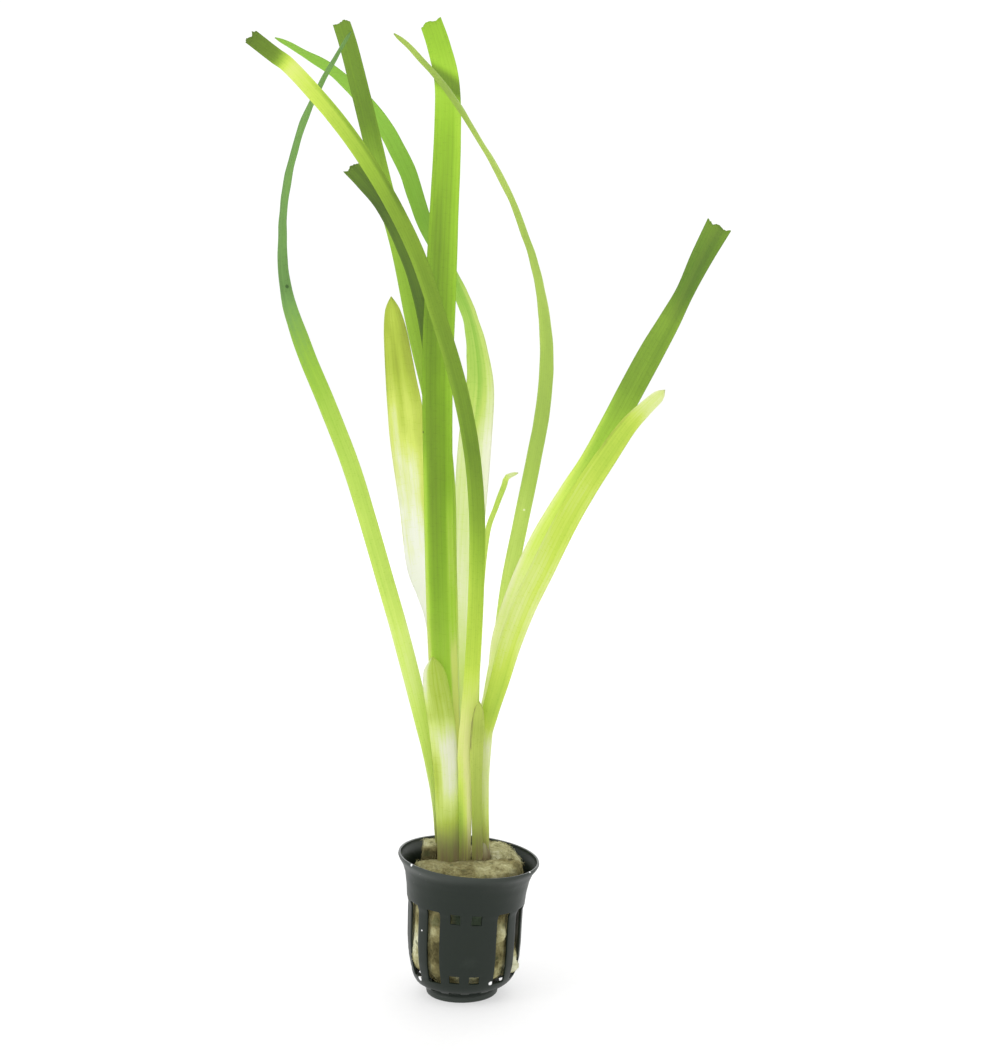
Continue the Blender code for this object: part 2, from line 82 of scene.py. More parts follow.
class Look:
    # a material under construction
    def __init__(self, name):
        self.material = bpy.data.materials.new(name)
        self.material.use_nodes = True
        self.tree = self.material.node_tree
        self.tree.nodes.clear()
        self.output = self.tree.nodes.new("ShaderNodeOutputMaterial")

    def node(self, kind, values=None, output=0, **settings):
        made = assign(self.tree.nodes.new("ShaderNode" + kind), **settings)
        for key, value in (values or {}).items():
            if isinstance(value, Wire):
                self.tree.links.new(value.socket, made.inputs[key])
            else:
                made.inputs[key].default_value = value
        return Wire(self, made.outputs[output])

    def finish(self, shader):
        self.tree.links.new(shader.socket, self.output.inputs["Surface"])
        return self.material

    def place(self):
        return self.node("TexCoord", output="Object")

    def height(self, place):
        return self.node("SeparateXYZ", {"Vector": place}, "Z")

    def vector(self, x, y, z):
        return self.node("CombineXYZ", {"X": x, "Y": y, "Z": z})

    def smooth(self, value, low, high):
        # 0 below low, 1 above high
        return self.node("MapRange", {"Value": value, "From Min": low, "From Max": high},
                         interpolation_type="SMOOTHSTEP")

    def fade(self, value, low, high):
        # 1 below low, 0 above high
        return 1.0 - self.smooth(value, low, high)

    def between(self, value, start, end, blend):
        # 1 from start to end, 0 outside
        return self.smooth(value, start - blend, start + blend) * self.fade(value, end - blend, end + blend)

    def near(self, place, centre, full, none):
        # 1 up to the first distance from a point, 0 beyond the second
        away = self.node("VectorMath", {0: place, 1: Vector(centre) * mm}, "Value", operation="DISTANCE")
        return self.fade(away, full * mm, none * mm)

    def clamped(self, value, factor=1.0, shift=0.0):
        return self.node("Math", {0: value, 1: factor, 2: shift}, operation="MULTIPLY_ADD", use_clamp=True)

    def noise(self, vector, scale, detail=2.0, roughness=0.5, distortion=0.0):
        return self.node("TexNoise", {"Vector": vector, "Scale": scale, "Detail": detail,
                                      "Roughness": roughness, "Distortion": distortion})

    def ramp(self, value, colours, start, pitch):
        # one colour after the other, a pitch apart
        made = self.node("ValToRGB", {"Fac": value})
        elements = made.socket.node.color_ramp.elements
        while len(elements) < len(colours):
            elements.new(1.0)
        for number, (element, colour) in enumerate(zip(elements, colours)):
            element.position = start + pitch * number
            element.color = colour
        return made

    def mixColour(self, factor, first, second):
        return self.node("Mix", {0: factor, 6: first, 7: second}, 2, data_type="RGBA")

    def mixShader(self, factor, first, second):
        return self.node("MixShader", {0: factor, 1: first, 2: second})

    def translucent(self, colour):
        return self.node("BsdfTranslucent", {"Color": colour})

    def skin(self, colour, roughness, specular, height):
        bump = self.node("Bump", {"Height": height, "Distance": mm})
        return self.node("BsdfPrincipled", {"Base Color": colour, "Roughness": roughness,
                                            "Specular IOR Level": specular, "Normal": bump})


def solid(colour):
    return (*colour, 1.0)


# Studio

studio = {
    "pitch": 9.9,
    "lens": 85.0,
    "sensor": 36.0,
    "sky": 1.06,
    "floorSize": 4000.0,
    "floorShade": 0.94,
    "floorGlow": 0.5,  # share of its brightness that no shadow takes away
    "panels": (
        # name, place, aimed at, width, watts
        ("panelBehind", (150, 900, 500), (0, 0, 170), 900, 3),
        ("panelLeft", (-800, -500, 700), (0, 0, 100), 500, 2),
    ),
}


def newObject(name, data):
    made = bpy.data.objects.new(name, data)
    bpy.context.collection.objects.link(made)
    return made


def setCamera():
    data = bpy.data.cameras.new("camera")
    camera = newObject("camera", assign(data, lens=studio["lens"], sensor_width=studio["sensor"],
                                        clip_start=0.01))
    camera.location = eye * mm
    camera.rotation_euler = (math.radians(90.0 - studio["pitch"]), 0.0, 0.0)
    bpy.context.scene.camera = camera


def setLight():
    world = bpy.data.worlds.new("studio")
    world.use_nodes = True
    background = world.node_tree.nodes["Background"]
    background.inputs["Color"].default_value = white
    background.inputs["Strength"].default_value = studio["sky"]
    bpy.context.scene.world = world
    bpy.context.scene.view_settings.view_transform = "Standard"
    for name, place, aim, width, watts in studio["panels"]:
        data = bpy.data.lights.new(name, "AREA")
        panel = newObject(name, assign(data, size=width * mm, energy=watts))
        panel.location = Vector(place) * mm
        panel.rotation_euler = (Vector(place) - Vector(aim)).to_track_quat("Z", "Y").to_euler()


def setFloor():
    look = Look("floorPaper")
    grain = look.noise(look.place(), 300.0)
    shade = studio["floorShade"] * (1.0 - studio["floorGlow"])
    paper = look.node("BsdfPrincipled", {
        "Base Color": look.mixColour(grain * 0.04, solid((shade,) * 3), white), "Roughness": 0.9,
        "Specular IOR Level": 0.1, "Emission Color": white, "Emission Strength": studio["floorGlow"]})
    work = bmesh.new()
    bmesh.ops.create_grid(work, x_segments=8, y_segments=8, size=studio["floorSize"] * mm)
    meshObject("floor", work, look.finish(paper))


def meshObject(name, work, *materials):
    mesh = bpy.data.meshes.new(name)
    work.to_mesh(mesh)
    work.free()
    for item in materials:
        mesh.materials.append(item)
    mesh.shade_smooth()
    return newObject(name, mesh)


def piece(name, work, material, node):
    # a finished piece of the plant or pot, from a mesh in millimetres
    bmesh.ops.scale(work, vec=(mm, mm, mm), verts=work.verts)
    made = meshObject(name, work, material)
    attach(made, "root")
    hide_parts(node)
    return made


setCamera()
setLight()
setFloor()
print("camera, light and floor")


# Leaves

blades = {
    "thickness": 0.5,  # at the middle of a blade
    "edgeShare": 0.35,  # of that, left at its margins
    "narrowest": 0.6,
    "columns": 18,
    "rowPitch": 1.5,
    "fineSteps": 600,  # that a route is measured by
    "rootHeight": 46.0,  # where a leaf starts, down in the wool
    "footHeight": 55.9,  # where it leaves its crown
    "through": 0.45,  # share of what is seen against white that comes through the blade
    "translucent": 0.68,  # weight of the shader that does it, up in the open
    "crowded": 0.42,  # the same down among the other leaves
    "crowdedUpTo": (0.07, 0.13),  # heights in metres where it begins and stops to change
    "stainUpTo": (0.049, 0.068),  # the same of the brown stain near the wool
    # tones from the darkest to the palest, as they look against white
    "tones": ((84, 106, 50), (116, 148, 52), (152, 190, 66), (204, 226, 108), (250, 252, 226)),
    "brown": (122, 109, 76),
    "roughness": 0.42,
    "veins": 7,
    "veinChange": -0.05,
    "crossPitch": 2.6,  # between two cross veins
    "crossChange": -0.06,
    "streakChange": 0.16,
    "blotchChange": 0.1,
    "marginChange": 0.03,
    "marginPower": 7.0,  # the higher, the narrower the margin
    "stripeBlend": 8.0,  # length over which a stripe fades in or out
    "rootPull": 0.12,  # share of its way to the crown's middle that a root turns inwards
    "rootSpread": 1.08,  # width of the root over that of the foot
    "tip": 3.0,  # length over which a pointed tip narrows
    "tipShare": 0.08,  # width left at its very end
    "fray": 0.4,  # unevenness of a cut end, and how far it reaches down
    "frayReach": 6.0,
    "wander": 0.25,  # slow waves of a blade and the distance between them
    "wanderPitch": 22.0,
    "ruffle": 0.35,  # the same at its margins
    "rufflePitch": 7.0,
    "waveStart": 30.0,  # length over which the waves begin
}


def sight(x, z, depth):
    # point at this depth that looks, from the eye, as if it were at (x, z) over the foot
    start = Vector((x, 0.0, z))
    return eye + (start - eye) * ((depth - eye.y) / -eye.y)


def smoothPoint(before, start, end, after, share):
    # Catmull-Rom value between start and end
    square = share * share
    cube = square * share
    return 0.5 * (2.0 * start + (end - before) * share
                  + (2.0 * before - 5.0 * start + 4.0 * end - after) * square
                  + (3.0 * start - before - 3.0 * end + after) * cube)


def alongRoute(stations, position):
    # place, width, turn and paleness at a position from 0 to 1
    last = len(stations) - 1
    place = min(position * last, last - 1e-9)
    number = int(place)
    share = place - number
    picked = [stations[min(max(number + step, 0), last)] for step in (-1, 0, 1, 2)]
    middle, width = (smoothPoint(*[item[part] for item in picked], share) for part in (0, 1))
    turn, pale = (picked[1][part] * (1.0 - share) + picked[2][part] * share for part in (2, 3))
    return middle, max(width, blades["narrowest"]), turn, pale


def station(x, z, depth, width, pale, turn=0.0):
    return sight(x, z, depth), width, math.radians(turn), pale


def rootedStations(plan, crown):
    # the stations in space, with one more down in the wool
    stations = [station(*row) for row in plan["route"]]
    foot, width, turn, pale = stations[0]
    foot = Vector((foot.x, foot.y, blades["footHeight"]))
    pull = Vector(crown["centre"]) - foot.xy
    root = Vector((*(foot.xy + pull * blades["rootPull"]), blades["rootHeight"]))
    return [(root, width * blades["rootSpread"], turn, pale), (foot, width, turn, pale), *stations[1:]]


def evenPositions(lengths, rows):
    # positions from 0 to 1 that space the rows evenly, from the lengths up to the fine steps
    places = []
    number = 0
    for row in range(rows + 1):
        wanted = lengths[-1] * row / rows
        while number < len(lengths) - 2 and lengths[number + 1] < wanted:
            number += 1
        share = (wanted - lengths[number]) / (lengths[number + 1] - lengths[number])
        places.append((number + share) / (len(lengths) - 1))
    return places


def bladeFrame(stations, position):
    # middle, width, paleness and the directions right, face and run of a blade's section
    middle, width, turn, pale = alongRoute(stations, position)
    ahead = alongRoute(stations, min(position + 0.002, 1.0))[0]
    behind = alongRoute(stations, max(position - 0.002, 0.0))[0]
    run = (ahead - behind).normalized()
    towards = (eye - middle).normalized()
    front = (towards - run * towards.dot(run)).normalized()
    side = run.cross(front)
    right = side * math.cos(turn) + front * math.sin(turn)
    face = front * math.cos(turn) - side * math.sin(turn)
    return middle, width, pale, right, face, run


def raggedShift(plan, across, seed):
    # how far the cut end reaches along the blade here
    ends = plan["ragged"]
    place = (across + 1.0) / 2.0 * (len(ends) - 1)
    number = min(int(place), len(ends) - 2)
    share = place - number
    fray = noise.noise(Vector((across * 9.0, seed, 0.5))) * blades["fray"]
    return ends[number] * (1.0 - share) + ends[number + 1] * share + fray


def growLeaf(name, plan, crown):
    stations = rootedStations(plan, crown)
    steps = blades["fineSteps"]
    fine = [alongRoute(stations, step / steps)[0] for step in range(steps + 1)]
    lengths = [0.0]
    for start, end in zip(fine, fine[1:]):
        lengths.append(lengths[-1] + (end - start).length)
    length = lengths[-1]
    rows = round(length / blades["rowPitch"])
    frames = [bladeFrame(stations, position) for position in evenPositions(lengths, rows)]
    seed = sum(ord(letter) for letter in name) * 0.37
    work = bmesh.new()
    work.loops.layers.uv.new("leafMap")
    bmesh.ops.create_grid(work, x_segments=blades["columns"], y_segments=rows, size=1.0, calc_uvs=True)
    weight = work.verts.layers.deform.verify()
    paleness = work.verts.layers.float.new("paleness")
    tip = plan.get("tip", blades["tip"])
    for vert in work.verts:
        across = vert.co.x
        row = round((vert.co.y + 1.0) / 2.0 * rows)
        middle, width, pale, right, face, run = frames[row]
        reach = length * row / rows
        shift = 0.0
        if "ragged" in plan:
            near = clipped(1.0 - (length - reach) / blades["frayReach"])
            shift = raggedShift(plan, across, seed) * near * near
        else:
            left = clipped((length - reach) / tip)
            width *= max(blades["tipShare"], math.sqrt(1.0 - (1.0 - left) ** 2))
        bulge = plan["cup"] * width / 7.0 * (1.0 - across * across)
        wander = noise.noise(Vector((reach / blades["wanderPitch"], seed, across * 0.6))) * blades["wander"]
        ruffle = noise.noise(Vector((reach / blades["rufflePitch"], seed + 4.0, across))) * blades["ruffle"]
        out = bulge + (wander + ruffle * abs(across) ** 3) * min(1.0, reach / blades["waveStart"])
        vert.co = middle + right * (across * width / 2.0) + face * out + run * shift
        vert[weight][0] = 1.0 - abs(across) ** 3
        vert[paleness] = pale
    look = leafLook(name + "Look", plan, length, seed)
    made = piece(name, work, look, plan["node"])
    made.vertex_groups.new(name="bladeMiddle")
    assign(made.modifiers.new("bladeThickness", "SOLIDIFY"), thickness=blades["thickness"] * mm, offset=0.0,
           vertex_group="bladeMiddle", thickness_vertex_group=blades["edgeShare"])
    print("leaf", name, "length", round(length), "mm")


def faceColours(shown):
    # what a blade throws back and lets through to look like this (0 to 255) against white
    light = [((part / 255.0 + 0.055) / 1.055) ** 2.4 for part in shown]
    through = blades["through"]
    weight = blades["translucent"]
    back = [part * (1.0 - through) / (1.0 + part * through) for part in light]
    passed = [math.sqrt(part * through * (1.0 - shade * shade)) for part, shade in zip(light, back)]
    return (solid([min(part / (1.0 - weight), 0.98) for part in back]),
            solid([min(part / weight, 0.98) for part in passed]))


def toneShaders(look, pale, tones):
    # base colour and translucent shader of a blade for a paleness from 0 to 1
    pairs = [faceColours(tone) for tone in tones]
    steps = len(tones) - 1
    base = look.ramp(pale, [pair[0] for pair in pairs], 0.0, 1.0 / steps)
    glow = look.translucent(pairs[0][1])
    for number, pair in enumerate(pairs[1:]):
        glow = look.mixShader(look.clamped(pale, steps, -number), glow, look.translucent(pair[1]))
    return base, glow


def leafLook(name, plan, length, seed):
    look = Look(name)
    place = look.node("SeparateXYZ", {"Vector": look.node("UVMap", uv_map="leafMap")})
    across = place * 2.0 - 1.0
    share = place.other("Y")
    reach = share * length
    widest = max(station[3] for station in plan["route"])
    side = place * widest
    # long veins, short cross veins between them, streaks and blotches
    lane = place * blades["veins"]
    vein = ((lane * math.tau).maths("COSINE") * 0.5 + 0.5) ** 10.0
    strip = (lane + 0.5).maths("FLOOR")
    lot = look.node("TexWhiteNoise", {"W": strip + seed}, "Value", noise_dimensions="1D")
    step = reach / blades["crossPitch"] + lot * 7.0
    rung = step.maths("FLOOR")
    chance = look.node("TexWhiteNoise", {"Vector": look.vector(strip, rung, 0.0)}, "Value",
                       noise_dimensions="2D")
    cross = look.fade((step - rung - 0.5).maths("ABSOLUTE"), 0.02, 0.06) * look.smooth(chance, 0.45, 0.6)
    streak = look.noise(look.vector(side, reach * 0.015, seed), 1.1, 3.0) - 0.5
    fine = look.noise(look.vector(side, reach * 0.05, seed + 3.0), 4.0, 2.0) - 0.5
    blotch = look.noise(look.vector(side * 0.5, reach * 0.12, seed + 7.0), 0.5, 3.0) - 0.5
    margin = across.maths("ABSOLUTE") ** blades["marginPower"]
    streaky = plan.get("streaky", blades["streakChange"])
    pale = look.node("Attribute", output="Fac", attribute_name="paleness")
    pale = (pale + vein * blades["veinChange"] + cross * blades["crossChange"]
            + streak * streaky + fine * (streaky * 0.5)
            + blotch * plan.get("blotchy", blades["blotchChange"])
            + margin * plan.get("margin", blades["marginChange"]))
    blend = blades["stripeBlend"] / length
    for centre, half, change, start, end in plan.get("stripes", ()):
        mask = look.fade((across - centre).maths("ABSOLUTE"), half * 0.3, half)
        if start > 0.0:
            mask = mask * look.smooth(share, start - blend, start + blend)
        if end < 1.0:
            mask = mask * look.fade(share, end - blend, end + blend)
        pale = pale + mask * change
    # painted shadow bands across a blade
    for start, end, slant, change in plan.get("shadowBands", ()):
        pale = pale + look.between(share + across * slant, start, end, 0.008) * change
    for spotShare, spotAcross, radius, change in plan.get("spots", ()):
        away = look.vector((across - spotAcross) * (widest / 2.0), (share - spotShare) * length, 0.0)
        distance = look.node("VectorMath", {0: away}, "Value", operation="LENGTH")
        pale = pale + look.fade(distance, radius * 0.4, radius) * change
    # brown stain near the wool, and brown streaks where the leaf has them
    tall = look.height(look.place())
    brown = look.fade(tall, *blades["stainUpTo"]) * look.clamped(streak, 2.0, 0.85)
    for centre, half, start, end, strength in plan.get("brown", ()):
        mask = look.fade((across - centre).maths("ABSOLUTE"), half * 0.3, half)
        mask = mask * look.between(share, start, end, 0.02) * look.clamped(fine, 4.0, 0.7) * strength
        brown = brown.maths("MAXIMUM", mask)
    base, glow = toneShaders(look, look.clamped(pale), plan.get("tones", blades["tones"]))
    stain, through = faceColours(blades["brown"])
    base = look.mixColour(brown, base, stain)
    glow = look.mixShader(brown, glow, look.translucent(through))
    skin = look.skin(base, fine * 0.3 + blades["roughness"], 0.35,
                     vein * 0.05 + cross * 0.03 + streak * 0.12 + fine * 0.06)
    # painted light: among the other leaves the blade throws back more and lets less through, so that it stays
    # bright where less light comes from behind
    crowded = blades["crowded"]
    weight = look.smooth(tall, *blades["crowdedUpTo"]) * (blades["translucent"] - crowded) + crowded
    return look.finish(look.mixShader(weight, skin, glow))


# The crowns that the leaves grow from
leftCrown = {"centre": (-3.2, -0.3), "radii": (6.2, 5.7), "folds": 5}
rightCrown = {"centre": (6.9, -0.5), "radii": (3.5, 4.5), "folds": 4}

# Stations of a route: x, z, depth, width, paleness and, where there is one, the turn
# painted highlight: the sheath's pale, almost white middle from about 75 to 100 mm up, with greener margins,
# stands for glare on its wet skin
leafSheathFront = {
    "node": "leaf_sheath_front", "slot": "leaf_pale", "cup": 1.6, "tip": 5.0,
    "tones": ((100, 116, 58), (148, 166, 72), (177, 198, 72), (212, 230, 128), (253, 255, 210)),
    "streaky": 0.35,
    "stripes": ((-1, 0.95, -0.5, 0.34, 0.6), (0.95, 0.65, -0.1, 0, 0.5), (-0.95, 0.5, 0.5, 0.82, 1),
                (-0.95, 0.5, 0.25, -0.2, 0.08)),
    "route": (
        (-4.8, 57, -5.6, 7.6, 0.18), (-5.1, 75, -5.9, 8.6, 0.93), (-6, 90, -6.2, 9.1, 1.05),
        (-7.3, 102, -6.3, 9.4, 0.6), (-8.7, 111, -6.2, 9, 0.59), (-9.4, 117, -6, 7.6, 0.58),
        (-9.7, 120.6, -5.9, 4.8, 0.59), (-9.9, 122.6, -5.8, 1.6, 0.54),
    ),
}
growLeaf("leafSheathFront", leafSheathFront, leftCrown)

leafFrontArching = {
    "node": "leaf_front_arching", "slot": "leaf_green", "cup": 0.8,
    "tones": ((84, 106, 44), (116, 146, 50), (156, 190, 64), (206, 232, 92), (240, 248, 150)),
    "ragged": (0.2, 0.8, -0.3, 0.5, -0.4),
    "stripes": ((0.75, 0.7, 0.32, 0.01, 0.16), (-0.8, 0.9, -0.22, 0.03, 0.16), (0.9, 0.6, -0.2, 0.76, 0.92),
                (-0.9, 0.5, 0.08, 0.3, 0.72)),
    "route": (
        (1.1, 57, -5, 4.4, 0.62, -12), (1.45, 80, -6.46, 5.24, 1.04, -9.2), (1.6, 90, -7.1, 5.6, 1.12, -8),
        (4, 120, -9.5, 5.4, 0.72, -4), (5.4, 150, -11.9, 5.4, 0.6), (5.6, 173, -14, 5.4, 0.36),
        (3.7, 196, -16.1, 5.4, 0.23), (-0.6, 218, -18.2, 5.4, 0.27, 4), (-7, 240, -20.3, 5.3, 0.31, 8),
        (-14.2, 261.5, -22.4, 5.3, 0.35, 8), (-22.5, 279, -24.5, 5.2, 0.39, 5), (-32, 295, -26.6, 5.2, 0.54),
        (-43, 310, -28.7, 5.2, 0.67, -5), (-56.5, 325, -30.8, 5.2, 0.9, -10),
        (-62, 329.3, -31.4, 5.2, 0.22, -11), (-70, 335.5, -32.3, 5.2, 0.1, -12),
    ),
}
growLeaf("leafFrontArching", leafFrontArching, leftCrown)

leafMainUpright = {
    "node": "leaf_main_upright", "slot": "leaf_green", "cup": 0.7,
    "tones": ((84, 110, 44), (118, 150, 50), (150, 194, 56), (184, 224, 78), (230, 242, 140)),
    "ragged": (-0.8, 0.4, 0.7, 0, 0.9),
    "margin": 0.06,
    # painted light: the two paler stripes at the right margin that stop low down lift the shade of the crevice
    # between the sheath and the front leaf
    "stripes": ((-0.35, 0.45, -0.07, 0.25, 0.8), (0.8, 0.4, 0.13, 0.35, 0.9), (-1, 0.4, 0.25, 0.1, 0.5),
                (1, 0.6, 0.4, 0.1, 0.27), (0.75, 0.45, 0.17, 0.25, 0.45)),
    "brown": ((-0.6, 1.4, 0.1, 0.32, 0.13), (-0.6, 1.4, 0.1, 0.55, 0.07)),
    # painted shadow: a dark slanting band across the blade near its top, where another leaf lies across it
    "shadowBands": ((0.921, 0.944, 0.012, -0.42),),
    "spots": ((0.53, -0.98, 0.5, -0.6),),
    "route": (
        (-3.4, 57, -3.1, 7.2, 0.63), (-3.9, 75, -3, 7.8, 0.88), (-5, 95, -2.8, 8.8, 0.89),
        (-6.3, 120, -2.5, 10, 0.7), (-7.2, 150, -2.2, 10.2, 0.53), (-7.8, 185, -2, 10, 0.42),
        (-7.9, 220, -1.8, 10.5, 0.44), (-7, 245, -1.8, 10.7, 0.32, 5), (-5.5, 275, -2, 10, 0.37, 10),
        (-4.2, 302, -2.4, 9.2, 0.47, 10), (-4.3, 320, -2.8, 8.4, 0.62, 8), (-6.9, 332, -3, 7.8, 0.51, 5),
        (-9.6, 340, -3.2, 7.4, 0.47, 5),
    ),
}
growLeaf("leafMainUpright", leafMainUpright, leftCrown)

leafTrimmedLeft = {
    "node": "leaf_trimmed_left", "slot": "leaf_dark", "cup": 0.5,
    "ragged": (0.6, -0.3, 0.6, 0.2, -0.6),
    "route": (
        (-4.4, 57, -1.3, 4.2, 0.61), (-4.8, 80, -1.1, 4.4, 0.76), (-6.2, 120, -0.2, 4.8, 0.61),
        (-7.4, 160, 0.4, 5, 0.23), (-8.4, 200, 0.9, 5, 0.15), (-10.4, 230, 1.3, 5, 0.09),
        (-14.6, 252, -0.6, 5, 0.05, 10), (-20, 267, -4.8, 5, 0.11, 15), (-26.4, 279.5, -9.2, 5.2, 0, 15),
        (-32.4, 287, -12.2, 5.4, 0.09, 10), (-36.8, 292, -14.1, 5.8, 0.14, 8),
    ),
}
growLeaf("leafTrimmedLeft", leafTrimmedLeft, leftCrown)

leafUprightLeft = {
    "node": "leaf_upright_left", "slot": "leaf_green", "cup": 0.5,
    "ragged": (0.4, -0.3, 0.4, 0.7, -0.5),
    "route": (
        (-3, 57, 0.1, 5.6, 0.61), (-3, 80, 0.8, 5.8, 0.86), (-3.9, 120, 2.6, 6.2, 0.81),
        (-4.6, 155, 4.4, 6.4, 0.62), (-5.2, 185, 5.9, 6.4, 0.52), (-8.8, 211, 7.8, 7.2, 0.45),
        (-15, 237, 9.6, 6.4, 0.45), (-20.2, 264, 11.3, 6.4, 0.46, 5), (-25.8, 285, 12.8, 6.4, 0.47, 8),
        (-31, 307, 14.7, 6.3, 0.22, 5), (-36.6, 330, 16.5, 6.2, 0.22), (-39.6, 340, 17.4, 6, 0.22),
    ),
}
growLeaf("leafUprightLeft", leafUprightLeft, leftCrown)

leafBackArching = {
    "node": "leaf_back_arching", "slot": "leaf_green", "cup": -0.5,
    "tones": ((84, 116, 52), (116, 158, 54), (140, 188, 70), (200, 222, 112), (250, 252, 214)),
    "stripes": ((0.8, 0.5, 0.14, 0.4, 0.66), (-0.05, 0.25, -0.09, 0.42, 0.62)),
    "route": (
        (0, 57, 1.8, 4.6, 0.59), (0.2, 80, 3, 5, 0.84), (0.4, 115, 5.7, 6.4, 0.82),
        (1.2, 145, 8.7, 8.6, 0.95), (3, 172, 11.7, 11, 0.87), (4.8, 197, 14.7, 11.8, 0.88, 8),
        (6.6, 220, 17.7, 10.8, 0.67, 30), (3.6, 240, 20.4, 9.2, 0.62, 55), (-3, 256, 22.8, 8.2, 0.49, 58),
        (-11.8, 273, 24.9, 7.4, 0.3, 45), (-18.4, 292, 27, 6.9, 0.38, 30),
        (-27.6, 308.5, 29.1, 6.4, 0.49, 30), (-40.6, 322.5, 31.2, 5.4, 0.46, 45),
        (-55, 331.5, 33, 4.2, 0.5, 55), (-62, 335, 33.9, 1.6, 0.5, 55),
    ),
}
growLeaf("leafBackArching", leafBackArching, leftCrown)

leafPaleShort = {
    "node": "leaf_pale_short", "slot": "leaf_pale", "cup": -0.7, "tip": 5.0,
    "tones": ((110, 116, 54), (148, 163, 60), (178, 197, 76), (215, 228, 112), (255, 255, 238)),
    "margin": -0.03, "streaky": 0.26, "blotchy": 0.34,
    "stripes": ((0.95, 0.9, -0.14, 0.55, 1.1), (-0.2, 0.4, -0.1, 0.75, 0.92)),
    "brown": ((0.95, 0.7, 0.55, 0.97, 0.1),),
    "route": (
        (-4.2, 57, 3.4, 5.4, 0.63), (-4.6, 80, 5.2, 6, 0.93), (-5.8, 110, 8.8, 7, 0.99),
        (-8.6, 135, 12.4, 7.6, 1.09), (-11.1, 146, 14, 9.2, 1.09), (-13.7, 156, 15.5, 10.8, 1.06),
        (-16, 177, 18.4, 10.9, 0.94), (-18.1, 198, 21.1, 12.4, 0.81), (-19, 209, 22.5, 12.4, 0.79),
        (-20.4, 220, 23.8, 10.8, 0.58), (-22.2, 236, 25.6, 8.2, 0.45), (-23.2, 244, 26.5, 5.2, 0.52),
        (-23.6, 248.5, 26.8, 1.6, 0.46),
    ),
}
growLeaf("leafPaleShort", leafPaleShort, leftCrown)

leafLeftSlender = {
    "node": "leaf_left_slender", "slot": "leaf_green", "cup": 0.6,
    "tones": ((62, 90, 46), (116, 157, 84), (150, 190, 66), (200, 224, 106), (244, 250, 210)),
    "spots": ((0.704, 0.45, 0.8, -0.7),),
    "route": (
        (-8.1, 57, 0.9, 3.8, 0.7, -50), (-9, 72, 0.9, 4.6, 0.8, -40), (-11.6, 90, 0.9, 5.6, 0.73, -25),
        (-16.3, 111, 0.8, 6, 0.78, -10), (-21.5, 132, 0.4, 6.1, 0.76), (-26.7, 151, 0.2, 6.1, 0.67),
        (-32.5, 172, -0.5, 6.1, 0.68), (-38.2, 191, -1.9, 6.1, 0.66), (-45.7, 211, -4, 6, 0.58),
        (-54, 232, -6.8, 5.8, 0.43, 10), (-59.5, 251, -9.8, 5.4, 0.19, 42), (-60.4, 270, -12.7, 5, 0.23, 57),
        (-58.2, 288, -15.7, 4.6, 0.25, 60), (-53.5, 305, -18.8, 4, 0.27, 62),
        (-47.8, 317.5, -21.2, 3.4, 0.26, 62), (-41, 329.5, -23.6, 2.8, 0.22, 60),
        (-36.4, 337, -25, 1.2, 0.22, 60),
    ),
}
growLeaf("leafLeftSlender", leafLeftSlender, leftCrown)

leafBrownTip = {
    "node": "leaf_brown_tip", "slot": "leaf_brown", "cup": 0.9,
    "tones": ((92, 106, 54), (126, 144, 56), (164, 184, 76), (210, 224, 112), (250, 252, 226)),
    "brown": ((-1, 0.4, 0.72, 0.97, 0.7), (0.9, 0.25, 0.9, 1.1, 0.4)),
    "route": (
        (5.6, 57, -4.8, 3.7, 0.46), (5.4, 75, -7.4, 3.7, 0.52), (5.3, 88, -9, 4.6, 0.59),
        (5.8, 97, -9.9, 4.6, 0.55), (6.1, 103, -10.4, 3.4, 0.65), (6.3, 106.6, -10.7, 1.2, 0.66),
    ),
}
growLeaf("leafBrownTip", leafBrownTip, rightCrown)

leafPaleRight = {
    "node": "leaf_pale_right", "slot": "leaf_pale", "cup": 0.6,
    "tones": ((84, 106, 50), (116, 148, 52), (152, 190, 62), (200, 221, 90), (248, 250, 205)),
    "stripes": ((0.35, 0.3, -0.05, 0.2, 0.95), (-0.95, 0.35, -0.05, 0.7, 0.9)),
    "brown": ((-0.95, 0.3, 0.84, 0.93, 0.25),),
    "route": (
        (7.4, 57, -3, 4.4, 0.71), (7.3, 75, -3.3, 4.8, 0.86), (7.6, 90, -3.9, 4.6, 0.94),
        (10, 102, -5.1, 5.8, 0.66), (13.6, 114.5, -6.9, 6.8, 0.72), (17, 127, -8.7, 7.8, 0.83),
        (22, 140.5, -10.8, 8.3, 0.86), (28.2, 153.5, -12.9, 8.4, 0.82), (36, 169.6, -15.6, 8.2, 0.77),
        (43, 182, -17.7, 7.8, 0.78), (50.4, 193.4, -19.8, 7.2, 0.7), (57.6, 203.8, -21.6, 6, 0.71),
        (63.7, 210.2, -23.1, 4.9, 0.87), (68, 214.2, -24, 4, 0.89), (70.2, 216.4, -24.5, 1.6, 0.87),
    ),
}
growLeaf("leafPaleRight", leafPaleRight, rightCrown)

